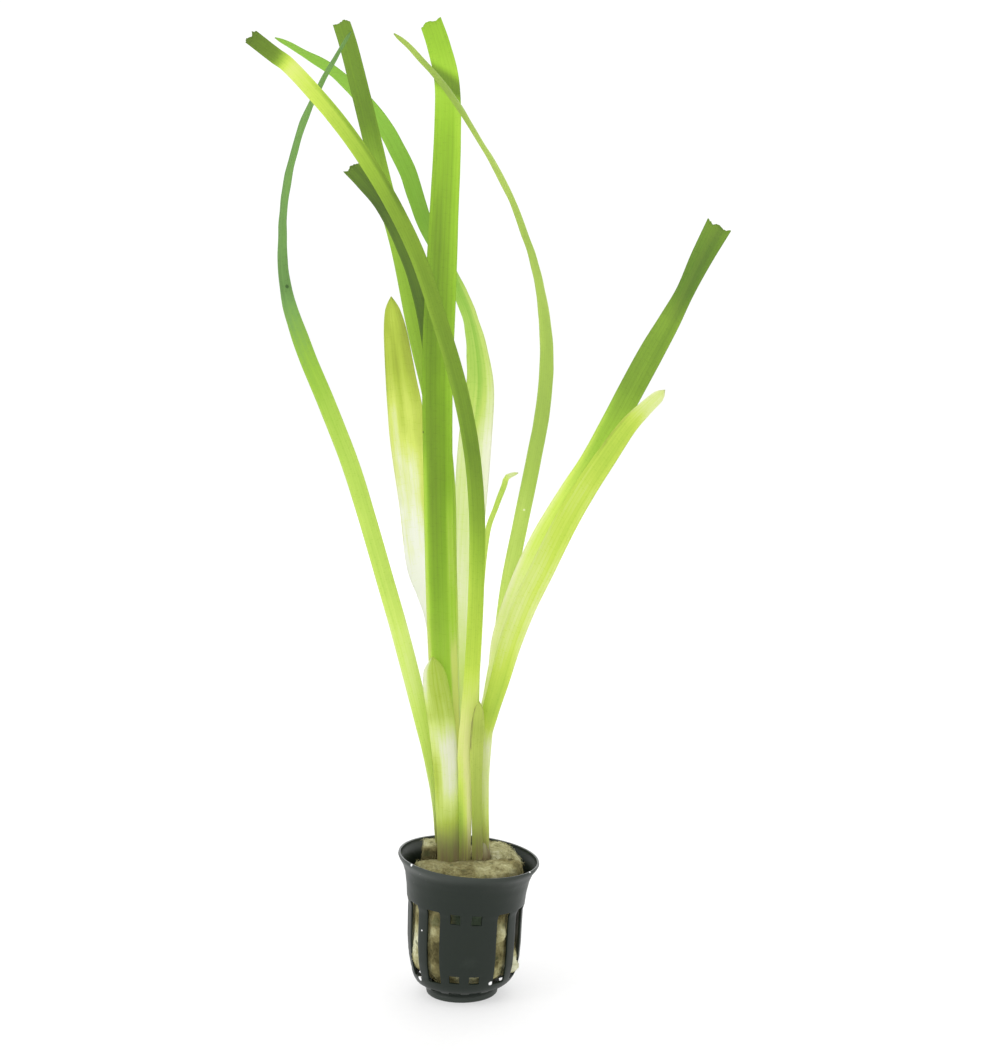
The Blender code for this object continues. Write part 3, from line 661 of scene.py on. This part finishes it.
leafTrimmedRight = {
    "node": "leaf_trimmed_right", "slot": "leaf_green", "cup": 0.5,
    "ragged": (0.7, -0.4, 0.6, -0.3, 0.5),
    "tones": ((88, 120, 46), (116, 148, 52), (152, 190, 66), (206, 230, 100), (252, 255, 192)),
    "stripes": ((0.3, 0.5, -0.06, 0.8, 1.1), (-0.9, 0.4, 0.1, 0.4, 0.72)),
    "brown": ((0.1, 0.6, 0.86, 1.1, 0.12),),
    "route": (
        (7, 57, -1.5, 5, 0.73), (7, 80, -1.5, 5.2, 0.93), (8.8, 100, -1.7, 5.4, 0.93),
        (12.2, 115, -2, 6.2, 0.93), (14.6, 130, -2.6, 7.2, 0.97), (20.6, 148, -3.4, 7.6, 0.9),
        (28.2, 164.5, -4.7, 7.8, 0.77), (37.4, 180, -5.9, 7.6, 0.7), (45, 191.5, -7.1, 7.8, 0.56),
        (52.6, 205, -8.2, 8.4, 0.47), (59.4, 218, -9.4, 8.6, 0.28), (65.8, 230, -10.6, 8.4, 0.29),
        (71.4, 240, -11.9, 7.4, 0.3), (76.6, 250, -13, 6.2, 0.09), (81.8, 261, -14.2, 7.4, 0.09),
        (87.8, 272.4, -15.5, 8.8, 0.2),
    ),
}
growLeaf("leafTrimmedRight", leafTrimmedRight, rightCrown)

leafRightArching = {
    "node": "leaf_right_arching", "slot": "leaf_green", "cup": 0.6,
    "tones": ((96, 120, 58), (132, 158, 74), (164, 192, 86), (206, 226, 118), (250, 252, 222)),
    "spots": ((0.42, 0.1, 0.5, 0.6),),
    "route": (
        (7.4, 57, 0.1, 4.8, 0.67), (7.3, 80, 0.8, 5, 0.82), (9.7, 105, 2, 5, 0.74),
        (13.7, 128, 3.3, 5.2, 0.77), (16.6, 149, 3.9, 5.3, 0.63), (20.7, 170, 3.9, 5.3, 0.59),
        (24.7, 190, 2.9, 5.3, 0.48, -10), (28.3, 210, 1.2, 5.3, 0.45, -20), (29.5, 230, -1.6, 5.2, 0.5, -30),
        (27.4, 250, -5.2, 4.8, 0.57, -48), (22.6, 268, -8.8, 4.4, 0.5, -58), (15.2, 286, -12, 4, 0.61, -63),
        (5.4, 303, -15, 3.8, 0.57, -63), (-4, 317.5, -17.4, 3.6, 0.44, -60),
        (-15.8, 331, -19.8, 3.2, 0.56, -57), (-22, 336.5, -20.9, 1.4, 0.54, -55),
    ),
}
growLeaf("leafRightArching", leafRightArching, rightCrown)

leafSmallCurled = {
    "node": "leaf_small_curled", "slot": "leaf_green", "cup": 0.5,
    "route": (
        (5.6, 57, 2, 1.8, 0.61), (5.2, 85, 2.6, 1.9, 0.71), (5.5, 115, 2.6, 2, 0.7), (6.9, 145, 0.6, 2, 0.74),
        (9.1, 166, -1.6, 1.9, 0.72), (12.3, 176, -2.6, 1.8, 0.68), (14.9, 182.9, -3.4, 1.9, 0.66),
        (15.8, 185.9, -4.2, 1.9, 0.76), (17.6, 186.9, -5.2, 1.6, 0.9, 10), (19.8, 187.6, -6.6, 1.2, 0.8, 20),
    ),
}
growLeaf("leafSmallCurled", leafSmallCurled, rightCrown)


# Net pot

netPot = {
    "height": 50.3,
    "wall": 0.7,
    "footHeight": 3.2,
    "lean": 5.2,  # the rim tilts this much to the right
    "setOff": 0.6,  # the body sits this far to the right of its foot
    "setOffHeight": 6.0,
    "slump": math.tan(math.radians(2.0)),  # slope of the body where it meets the foot
    "slotCount": 14,
    "columnsPerSlot": 12,
    "firstSlot": -8.8,  # from the front, to the right
    "slotHalf": 2.65,
    "slotBottom": 8.4,
    "slotTop": 35.0,
    "cornerRound": 0.4,
    "shoulderHalf": 2.1,  # slots in the turned-under shoulder
    "shoulderSlot": (13.4, 16.6),
    "shoulderTop": 6.6,
    "panelSlots": (0, 1),  # behind the blank panel, with a window at each end
    "slotShifts": {-1: 2.0, 0: -0.7, 1: -5.3, 2: -1.5},
    "windowHalf": 1.8,
    "windows": ((9.2, 12.1), (31.4, 35)),
    "floorSlotCount": 7,
    "firstFloorSlot": 33.7,
    "floorSlotHalf": 0.8,
    "floorSlot": (4.9, 9.2),
    "floorEdge": 11.0,  # inside this radius a hole belongs to the floor
    "slotColumns": 4,  # of the mesh, on each side of a slot's middle
    "rowPitch": 1.1,
    "edgeRound": 0.16,
    # radius and height of the outside, from the axis to the rim
    "floor": ((0, 0), (2.4, 0), (4.9, 0), (7, 0), (9.2, 0), (10.6, 0), (12, 0)),
    "foot": ((12.35, 0.1), (12.7, 0.45), (12.8, 1), (12.75, 1.6), (12.4, 2.2), (11.9, 2.8), (11.7, 3.2)),
    "body": (
        (11.7, 3.2), (12.4, 3.36), (13.4, 3.58), (14.9, 3.95), (16, 4.6), (16.6, 5.1), (16.9, 5.4),
        (17.7, 6.5), (18.3, 7.8), (19.2, 10.8), (19.9, 14.5), (20.3, 20), (20.5, 33), (21, 34.6), (21.4, 39),
        (22.2, 43.6), (23.3, 46.6), (24.6, 48.5), (25.1, 49.5), (24.95, 50.25),
    ),
}


def leanBody(verts):
    # bends about the foot: upright at the ground, tilted at the rim
    tilt = math.radians(netPot["lean"])
    radius = netPot["height"] / tilt
    for vert in verts:
        height = vert.co.z - netPot["footHeight"]
        if height > 0.0:
            reach = radius - vert.co.x
            rise = min(1.0, height / netPot["setOffHeight"])
            sink = vert.co.x * netPot["slump"] * rise * (1.0 - height / netPot["height"])
            vert.co.x = radius - reach * math.cos(height / radius) + netPot["setOff"] * rise
            vert.co.z = netPot["footHeight"] + reach * math.sin(height / radius) - sink


def bodyRows():
    # places along the body, with a row wherever a slot or window begins or ends
    soft = netPot["cornerRound"] / 2.0
    low, high = netPot["slotBottom"], netPot["slotTop"]
    wanted = {low, low + soft, high - soft, high, *(edge for window in netPot["windows"] for edge in window)}
    rows = []
    for (startRadius, start), (endRadius, end) in zip(netPot["body"], netPot["body"][1:]):
        count = max(1, round(math.hypot(endRadius - startRadius, end - start) / netPot["rowPitch"]))
        shares = [step / count for step in range(count)]
        shares += [(height - start) / (end - start) for height in wanted if start < height < end]
        for share in sorted(shares):
            rows.append((startRadius + (endRadius - startRadius) * share, start + (end - start) * share))
    return rows + [netPot["body"][-1]]


def slotHalfAt(height):
    # half width of a slot, rounded off towards its ends
    near = min(height - netPot["slotBottom"], netPot["slotTop"] - height)
    soften = 1.0 - clipped(near / netPot["cornerRound"])
    return netPot["slotHalf"] - netPot["cornerRound"] * soften * soften


def columnAngle(offset, perSlot, half, radius, pitch):
    # angle of a column from the middle of its slot
    inner = netPot["slotColumns"]
    edge = math.asin(min(0.95, half / radius))
    count = abs(offset)
    if count <= inner:
        angle = edge * count / inner
    else:
        angle = edge + (pitch / 2.0 - edge) * (count - inner) / (perSlot / 2.0 - inner)
    return math.copysign(angle, offset)


def lathe(outline, segments):
    # turns an open outline once about the upright axis
    work = bmesh.new()
    corners = [work.verts.new(place) for place in outline]
    edges = [work.edges.new(pair) for pair in zip(corners, corners[1:])]
    bmesh.ops.spin(work, geom=corners + edges, cent=(0, 0, 0), axis=(0, 0, 1), angle=math.tau,
                   steps=segments, use_merge=True)
    bmesh.ops.remove_doubles(work, verts=work.verts, dist=0.001)
    return work


def makePot():
    rows = [*netPot["floor"], *netPot["foot"], *bodyRows()[1:]]
    columns = netPot["slotCount"] * netPot["columnsPerSlot"]
    work = lathe([(0.0, -radius, height) for radius, height in rows], columns)
    lateral = {}  # number of a point's slot and its columns from the slot's middle
    for vert in work.verts:
        radius = vert.co.xy.length
        if radius < 0.01:
            continue
        column = round(math.atan2(vert.co.x, -vert.co.y) / math.tau * columns)
        onFloor = radius < netPot["floorEdge"] and vert.co.z < 0.5
        perSlot = columns // netPot["floorSlotCount" if onFloor else "slotCount"]
        number = round(column / perSlot)
        offset = column - number * perSlot
        if onFloor:
            half = netPot["floorSlotHalf"]
        elif vert.co.z < netPot["shoulderTop"]:
            half = netPot["shoulderHalf"]
        elif number in netPot["panelSlots"]:
            half = netPot["windowHalf"]
        else:
            half = slotHalfAt(vert.co.z)
        first = math.radians(netPot["firstFloorSlot" if onFloor else "firstSlot"])
        pitch = math.tau * perSlot / columns
        angle = first + number * pitch + columnAngle(offset, perSlot, half, radius, pitch)
        if vert.co.z > netPot["shoulderTop"]:
            shift = netPot["slotShifts"].get(number, 0.0)
            angle += math.radians(shift) * min(1.0, (perSlot / 2.0 - abs(offset)) / 2.0)
        vert.co.x = radius * math.sin(angle)
        vert.co.y = -radius * math.cos(angle)
        lateral[vert] = (number, abs(offset))
    holes = [face for face in work.faces if inHole(face, lateral)]
    bmesh.ops.delete(work, geom=holes, context="FACES")
    bmesh.ops.recalc_face_normals(work, faces=work.faces)
    leanBody(work.verts)
    pot = piece("netPot", work, potLook(), "net_pot")
    assign(pot.modifiers.new("wall", "SOLIDIFY"), thickness=netPot["wall"] * mm, offset=-1.0,
           use_even_offset=True)
    assign(pot.modifiers.new("softEdges", "BEVEL"), width=netPot["edgeRound"] * mm, segments=2,
           limit_method="ANGLE", angle_limit=math.radians(50.0))


def inHole(face, lateral):
    if any(vert not in lateral or lateral[vert][1] > netPot["slotColumns"] for vert in face.verts):
        return False
    middle = face.calc_center_median()
    radius = middle.xy.length
    if radius < netPot["floorEdge"]:
        return netPot["floorSlot"][0] < radius < netPot["floorSlot"][1]
    if middle.z < netPot["shoulderTop"]:
        return netPot["shoulderSlot"][0] < radius < netPot["shoulderSlot"][1]
    if lateral[face.verts[0]][0] in netPot["panelSlots"]:
        return any(start < middle.z < end for start, end in netPot["windows"])
    return netPot["slotBottom"] < middle.z < netPot["slotTop"]


potFinish = {
    "plastic": (0.0085, 0.0148, 0.0095),
    "worn": (0.028, 0.038, 0.029),
    # painted light: a paler colour down at the foot, lifting the shadow there, and up inside the rim
    "paintedLift": (0.055, 0.065, 0.056),  # down at the foot and up inside the rim
    # painted highlights: white spots on the rim, the body and the bottoms of two slots, standing for light
    # caught by the wet plastic: place and radius
    "paintedGlints": (((-17.3, -15.1, 51.6), 0.6), ((24.1, -12.5, 48.3), 0.5), ((26.8, 1.7, 46.2), 0.5),
               ((-13.8, -13.9, 27.4), 0.35), ((-9.4, -17.5, 27.1), 0.35), ((-19.2, -2.5, 35.5), 0.4),
               ((10.4, -16.2, 8.6), 1), ((-14.7, -10.3, 8.4), 1.1)),
    "speck": (0.5, 0.52, 0.48),
    "roughness": 0.4,
}


def potLook():
    look = Look("potPlastic")
    place = look.place()
    cloud = look.noise(place, 90.0, 4.0, 0.6)
    grain = look.noise(place, 2600.0, 2.0)
    worn = look.smooth(cloud, 0.55, 0.85) * 0.6
    colour = look.mixColour(worn, solid(potFinish["plastic"]), solid(potFinish["worn"]))
    tall = look.height(place)
    # painted light: paler near the ground and inside the rim
    paintedLiftMask = look.fade(tall, 0.002, 0.005) * 0.5 + look.smooth(tall, 0.046, 0.0505) * 0.7
    colour = look.mixColour(paintedLiftMask, colour, solid(potFinish["paintedLift"]))
    cells = look.node("TexVoronoi", {"Vector": place, "Scale": 420.0}, "Distance")
    lot = look.node("SeparateColor", {"Color": cells.other("Color")})
    specks = look.fade(cells, 0.04, 0.1) * look.smooth(lot, 0.9, 0.93)
    colour = look.mixColour(specks, colour, solid(potFinish["speck"]))
    # painted highlights: each spot turns the colour white
    for centre, radius in potFinish["paintedGlints"]:
        colour = look.mixColour(look.near(place, centre, radius * 0.6, radius), colour, white)
    return look.finish(look.skin(colour, cloud * 0.25 + (potFinish["roughness"] - 0.12), 0.3,
                                 grain * 0.02 + cloud * 0.15))


makePot()
print("net pot")


# Growing wool

wool = {
    "segments": 120,
    "frontFace": -3.4,  # depth of the cut behind the front wedge
    "split": 3.1,  # x of the cut between the two chunks at the back
    "chunkGap": 0.1,
    "voxel": 0.5,
    "lump": 0.3,  # height and size of the lumps
    "lumpSize": 9.0,
    "tuft": 0.22,
    "tuftSize": 1.1,
    # radius and height of the plug, from its top to its underside
    "profile": (
        (0, 48.4), (4, 48.5), (8, 48.6), (11, 48.6), (14, 48.6), (16.5, 48.3), (18.6, 47.6), (19.9, 45.6),
        (19.7, 41), (19.1, 33), (18.8, 20), (18.3, 14.5), (17.2, 10.8), (15.3, 8.4), (12.6, 6.4), (10, 4.4),
        (9.2, 1.35), (0, 1.35),
    ),
    "topStarts": 44.0,  # above this the top is lifted, and below it the sides swell
    "tuftyFrom": 46.5,  # the height where lumps and tufts begin to grow larger
    "sideRadius": 12.0,  # nothing inside this radius swells
    # bulges through the slots, and hollows where the reach is below 0: angle from the front, height,
    # reach, half width in degrees, half height
    "swells": (
        (68.3, 11.5, 3.6, 5.5, 3), (67, 17, 2, 4.5, 3), (40.5, 10.5, 1.6, 6.5, 2.5), (43, 26, 2.6, 7, 2.8),
        (-32.5, 13, 0.9, 6, 6), (-32.5, 29, 0.7, 6, 6), (-60, 18, 1.1, 8, 9), (-72, 14, 1.6, 10, 6),
        (-60, 30, 0.6, 6, 6), (119.8, 14, 0.8, 5, 5), (171.2, 14, 0.9, 5, 4), (-137.4, 25, 0.7, 5, 5),
        (36, 31, -2, 6, 4), (41.5, 20, -0.8, 7, 2), (-32.5, 21, -0.6, 6, 3), (2, 33, -5, 24, 4),
        (2, 10.5, -0.5, 24, 3), (-56, 7, -3.4, 8, 2), (42, 6.4, -2.4, 9, 2), (66, 5.5, -2.4, 9, 2),
        (66, 28, -1.9, 9, 7), (90, 27, -2.2, 18, 7), (115, 26, -1.9, 12, 7), (148.6, 27, -1.1, 7, 3),
        (-159.9, 10, -1, 8, 3),
    ),
    # painted light and shade: places that are lighter or darker, in the slots, in the valley behind the front
    # wedge and between the crowns: place, radius, change of tone
    "paintedPatches": (
        ((-9.8, -17.2, 20), 7.5, -0.52), ((-9.8, -17.2, 10), 5.5, -0.38), ((-9.8, -17.2, 29), 4.5, 0.14),
        ((-15.8, -11.6, 20), 11, 0.32), ((13, -17, 35), 6, -0.5), ((15.2, -15.4, 27), 4.5, 0.25),
        ((13, -15.8, 18.5), 4.5, -0.3), ((11.5, -16, 11), 4, 0.12), ((19, -8.5, 13), 6.5, 0.5),
        ((9.5, -3, 52), 3.6, -0.38), ((3.4, -4.5, 51.5), 2.2, -0.45), ((13.5, -3.6, 51), 2.6, -0.28),
        ((17, -3.8, 50), 2.2, -0.25), ((-12, -12, 49), 5, 0.12), ((17, -9, 48.5), 4, 0.16),
        ((4, -15.5, 48), 5, -0.08), ((2, -17, 10.5), 6.5, 0.3),
    ),
    "colours": ((0.105, 0.092, 0.038), (0.27, 0.24, 0.105), (0.48, 0.46, 0.25), (0.7, 0.7, 0.5)),
    # painted shade: behind the upper windows the wool is given a dark green, for the shade it lies in: place,
    # radius, colour
    "windowShade": ((3, -16.5, 33), 8, (0.19, 0.25, 0.165)),
    "moss": (0.08, 0.095, 0.04),
}


def denser(profile, pitch):
    # the same outline with points at most a pitch apart
    points = []
    for start, end in zip(profile, profile[1:]):
        count = max(1, math.ceil(math.dist(start, end) / pitch))
        points += [[a + (b - a) * step / count for a, b in zip(start, end)] for step in range(count)]
    return points + [profile[-1]]


def bell(distance, half):
    return math.exp(-(distance / half) ** 2)


def keepSide(work, place, away):
    # cuts by a plane and keeps the part that the vector away leaves behind
    everything = work.verts[:] + work.edges[:] + work.faces[:]
    line = bmesh.ops.bisect_plane(work, geom=everything, plane_co=place, plane_no=away,
                                  clear_outer=True)["geom_cut"]
    edges = [item for item in line if isinstance(item, bmesh.types.BMEdge)]
    bmesh.ops.holes_fill(work, edges=edges, sides=0)


def appliedMesh(made):
    # the mesh of an object with its modifiers applied; the object goes
    seen = made.evaluated_get(bpy.context.evaluated_depsgraph_get())
    mesh = bpy.data.meshes.new_from_object(seen)
    bpy.data.objects.remove(made)
    return mesh


def roughWool(work, seed):
    # lumps, tufts, bulges and hollows of the wool's skin
    for vert in work.verts:
        place = vert.co
        away = vert.normal.copy()
        lump = noise.noise(place / wool["lumpSize"] + Vector((seed, 0.0, 0.0)))
        tuft = noise.fractal(place / wool["tuftSize"] + Vector((0.0, seed, 0.0)), 0.9, 2.0, 3)
        onTop = clipped((place.z - wool["tuftyFrom"]) / 1.5)
        out = lump * wool["lump"] * (0.5 + onTop) + tuft * wool["tuft"] * (0.6 + 0.8 * onTop)
        vert.co = place + away * (out - 0.12 - 0.25 * (1.0 - onTop))
        outwards = Vector((place.x, place.y, 0.0))
        if outwards.length > wool["sideRadius"] and place.z < wool["topStarts"]:
            angle = math.degrees(math.atan2(place.x, -place.y))
            push = 0.0
            for at, height, reach, half, tall in wool["swells"]:
                gap = (angle - at + 180.0) % 360.0 - 180.0
                push += reach * bell(gap, half) * bell(place.z - height, tall)
            vert.co += outwards.normalized() * push


def woolFibres(mesh, count, seed):
    # loose fibres that lie on the wool, as one curve with a round section
    lots = random.Random(seed)
    data = assign(bpy.data.curves.new("fibres", "CURVE"), dimensions="3D", bevel_depth=0.055,
                  bevel_resolution=0, resolution_u=2)
    for fibre in range(count):
        vert = lots.choice(mesh.vertices)
        start = vert.co.copy()
        if start.z < 6.0:
            continue
        away = vert.normal.copy()
        drift = Vector([lots.uniform(-1.0, 1.0) for axis in range(3)])
        drift = (drift - away * drift.dot(away)).normalized()
        curl = away.cross(drift) * lots.uniform(-0.5, 0.5)
        length = lots.uniform(1.5, 6.0 if start.z > 46.0 else 3.0)
        rise = lots.uniform(0.05, 0.4)
        if start.z > 46.0 and lots.random() < 0.12:
            rise = lots.uniform(0.5, 1.1)
        line = data.splines.new("POLY")
        line.points.add(4)
        for step, point in enumerate(line.points):
            share = step / 4.0
            arch = math.sin(share * math.pi)
            place = (start + drift * (share - 0.5) * length + curl * arch * length * 0.4
                     + away * (rise * arch - 0.05))
            point.co = (*place, 1.0)
            point.radius = lots.uniform(0.6, 1.2)
    return appliedMesh(newObject("fibres", data))


def growingWool(name, node, lift, cuts, seed, fibres, shade, leftEnd=-30.0, paintedPatches=()):
    outline = [(radius, 0.0, height) for radius, height in denser(wool["profile"], 1.6)]
    work = lathe(outline, wool["segments"])
    bmesh.ops.recalc_face_normals(work, faces=work.faces)
    for vert in work.verts:
        rise = clipped((vert.co.z - wool["topStarts"]) / 3.0)
        if rise > 0.0:
            vert.co.x = max(vert.co.x, leftEnd)
        vert.co.z += lift(vert.co.x, vert.co.y) * rise
    for place, away in cuts:
        keepSide(work, place, away)
    leanBody(work.verts)
    block = meshObject("block", work)
    for socket in sockets:
        assign(block.modifiers.new("socket", "BOOLEAN"), operation="DIFFERENCE", object=socket)
    assign(block.modifiers.new("even", "REMESH"), mode="VOXEL", voxel_size=wool["voxel"])
    mesh = appliedMesh(block)
    work = bmesh.new()
    work.from_mesh(mesh)
    work.normal_update()
    roughWool(work, seed)
    work.to_mesh(mesh)
    work.from_mesh(woolFibres(mesh, fibres, seed))
    made = piece(name, work, woolLook(name + "Look", shade, paintedPatches), node)
    print("wool", name, len(made.data.polygons), "faces")


def woolLook(name, shade, paintedPatches):
    # shade: painted light and shade, the top lighter than the rest: tone of the top, tone of the rest, and the
    # height in metres where one turns into the other
    look = Look(name)
    upper, lower, border = shade
    place = look.place()
    cloud = look.noise(place, 110.0, 4.0, 0.6)
    felt = look.noise(place, 900.0, 4.0, 0.7)
    strand = look.noise(place, 260.0, 5.0, 0.65, 2.2)
    tall = look.height(place)
    tone = cloud * 1.1 + felt * 0.5 + strand * 0.4 - 0.5
    # painted light and shade: the top is lighter than the sides below it
    tone = tone + look.smooth(tall, border - 0.002, border + 0.002) * (upper - lower) + lower
    # painted light and shade at the listed patches
    for centre, radius, change in (*wool["paintedPatches"], *paintedPatches):
        tone = tone + look.near(place, centre, radius * 0.2, radius * 1.1) * change
    spots = look.smooth(look.noise(place, 240.0, 2.0), 0.62, 0.72)
    colour = look.ramp(tone, [solid(colour) for colour in wool["colours"]], 0.12, 0.26)
    colour = look.mixColour(spots * 0.6, colour, solid(wool["moss"]))
    # painted shade behind the upper windows
    centre, radius, shadow = wool["windowShade"]
    colour = look.mixColour(look.near(place, centre, radius * 0.6, radius), colour, solid(shadow))
    return look.finish(look.skin(colour, 0.95, 0.15, felt * 0.35 + strand * 0.3))


# Crowns: the swollen feet of the leaves, down in the wool

crowns = {
    "profile": (
        (36, 0.3), (37, 0.55), (38.5, 0.72), (42, 0.88), (46, 0.95), (50, 0.97), (53, 0.92), (55, 0.84),
        (56.5, 0.72), (57.6, 0.5), (58.1, 0.2),
    ),
    "columns": 72,
    "foldDepth": 0.09,
    "socketGrow": 0.25,
    "tones": ((0.07, 0.045, 0.02), (0.15, 0.11, 0.05), (0.24, 0.22, 0.1), (0.36, 0.37, 0.19)),
}


def crownBody(plan, grow=0.0):
    # elliptical rings, closed at both ends, with folds like leaf sheaths unless it is a grown socket
    rows = denser(crowns["profile"], 1.2)
    work = bmesh.new()
    bmesh.ops.create_grid(work, x_segments=crowns["columns"], y_segments=len(rows) - 1, size=1.0)
    for vert in work.verts:
        turn = (vert.co.x + 1.0) / 2.0
        height, share = rows[round((vert.co.y + 1.0) / 2.0 * (len(rows) - 1))]
        angle = turn * math.tau
        fold = 0.0
        if not grow:
            slid = (turn * plan["folds"] + height * 0.004) % 1.0
            fold = crowns["foldDepth"] * (slid - 0.5) * min(1.0, (1.0 - slid) * 8.0)
            fold += 0.02 * noise.noise(Vector((turn * 20.0, height * 0.08, plan["folds"])))
        sides = zip(plan["centre"], plan["radii"], (math.cos(angle), math.sin(angle)))
        vert.co = (*(middle + (radius * share * (1.0 + fold) + grow) * part for middle, radius, part in sides),
                   height)
    bmesh.ops.remove_doubles(work, verts=work.verts, dist=0.0001)
    ends = [edge for edge in work.edges if edge.is_boundary]
    bmesh.ops.holes_fill(work, edges=ends, sides=0)
    bmesh.ops.recalc_face_normals(work, faces=work.faces)
    return work


def crownLook(name):
    look = Look(name)
    place = look.place()
    long = look.node("Mapping", {"Vector": place, "Scale": (900.0, 900.0, 60.0)})
    streak = look.noise(long, 1.0, 3.0)
    blotch = look.noise(place, 260.0, 3.0)
    tone = look.smooth(look.height(place), 0.046, 0.058) * 0.62 + streak * 0.5 + blotch * 0.3 - 0.22
    colour = look.ramp(tone, [solid(colour) for colour in crowns["tones"]], 0.08, 0.28)
    return look.finish(look.skin(colour, 0.5, 0.35, streak * 0.15 + blotch * 0.1))


sockets = []
for name, plan, node in (("leftCrown", leftCrown, "left_crown"), ("rightCrown", rightCrown, "right_crown")):
    piece(name, crownBody(plan), crownLook(name + "Look"), node)
    sockets.append(meshObject("socket", crownBody(plan, crowns["socketGrow"])))
print("crowns")

backFace = wool["frontFace"] + wool["chunkGap"]


def frontLift(x, y):
    # higher to the right and towards the crowns, with a crease in front of the right crown
    inner = clipped((y + 17.0) / 12.0)
    return 0.9 + (0.085 * x + 0.9) * inner - 0.7 * bell(x - 5.0 - 0.3 * (y + 12.0), 0.9) * (1.0 - inner)


def backLeftLift(x, y):
    return 0.7 + 4.7 * bell(max(0.0, x + 9.0), 4.5) * bell(max(0.0, y - 4.0), 8.0)


def backRightLift(x, y):
    # rises from a valley behind the front wedge
    return 0.2 + 3.8 * bell(x - 12.0, 8.0) * clipped((y + 3.4) / 5.0)


growingWool("rockWoolFront", "rock_wool_front", frontLift,
            [((0, wool["frontFace"], 0), (0, 1, 0))], 11, 2200, (-0.09, -0.1, 0.045))
# painted shade: two more patches darken the front face of the back-left chunk
growingWool("rockWoolBackLeft", "rock_wool_back_left", backLeftLift,
            [((0, backFace, 0), (0, -1, 0)), ((wool["split"], 0, 0), (1, 0, 0))],
            23, 1600, (0.16, -0.1, 0.0535), leftEnd=-16.4,
            paintedPatches=(((-9.5, -4.5, 50.8), 6.4, -0.46), ((-14.5, -3.4, 51.0), 4.8, -0.34)))
growingWool("rockWoolBackRight", "rock_wool_back_right", backRightLift,
            [((0, backFace, 0), (0, -1, 0)), ((wool["split"] + wool["chunkGap"], 0, 0), (-1, 0, 0))],
            37, 1600, (0.08, -0.1, 0.046))
for socket in sockets:
    bpy.data.objects.remove(socket)
print("wool")
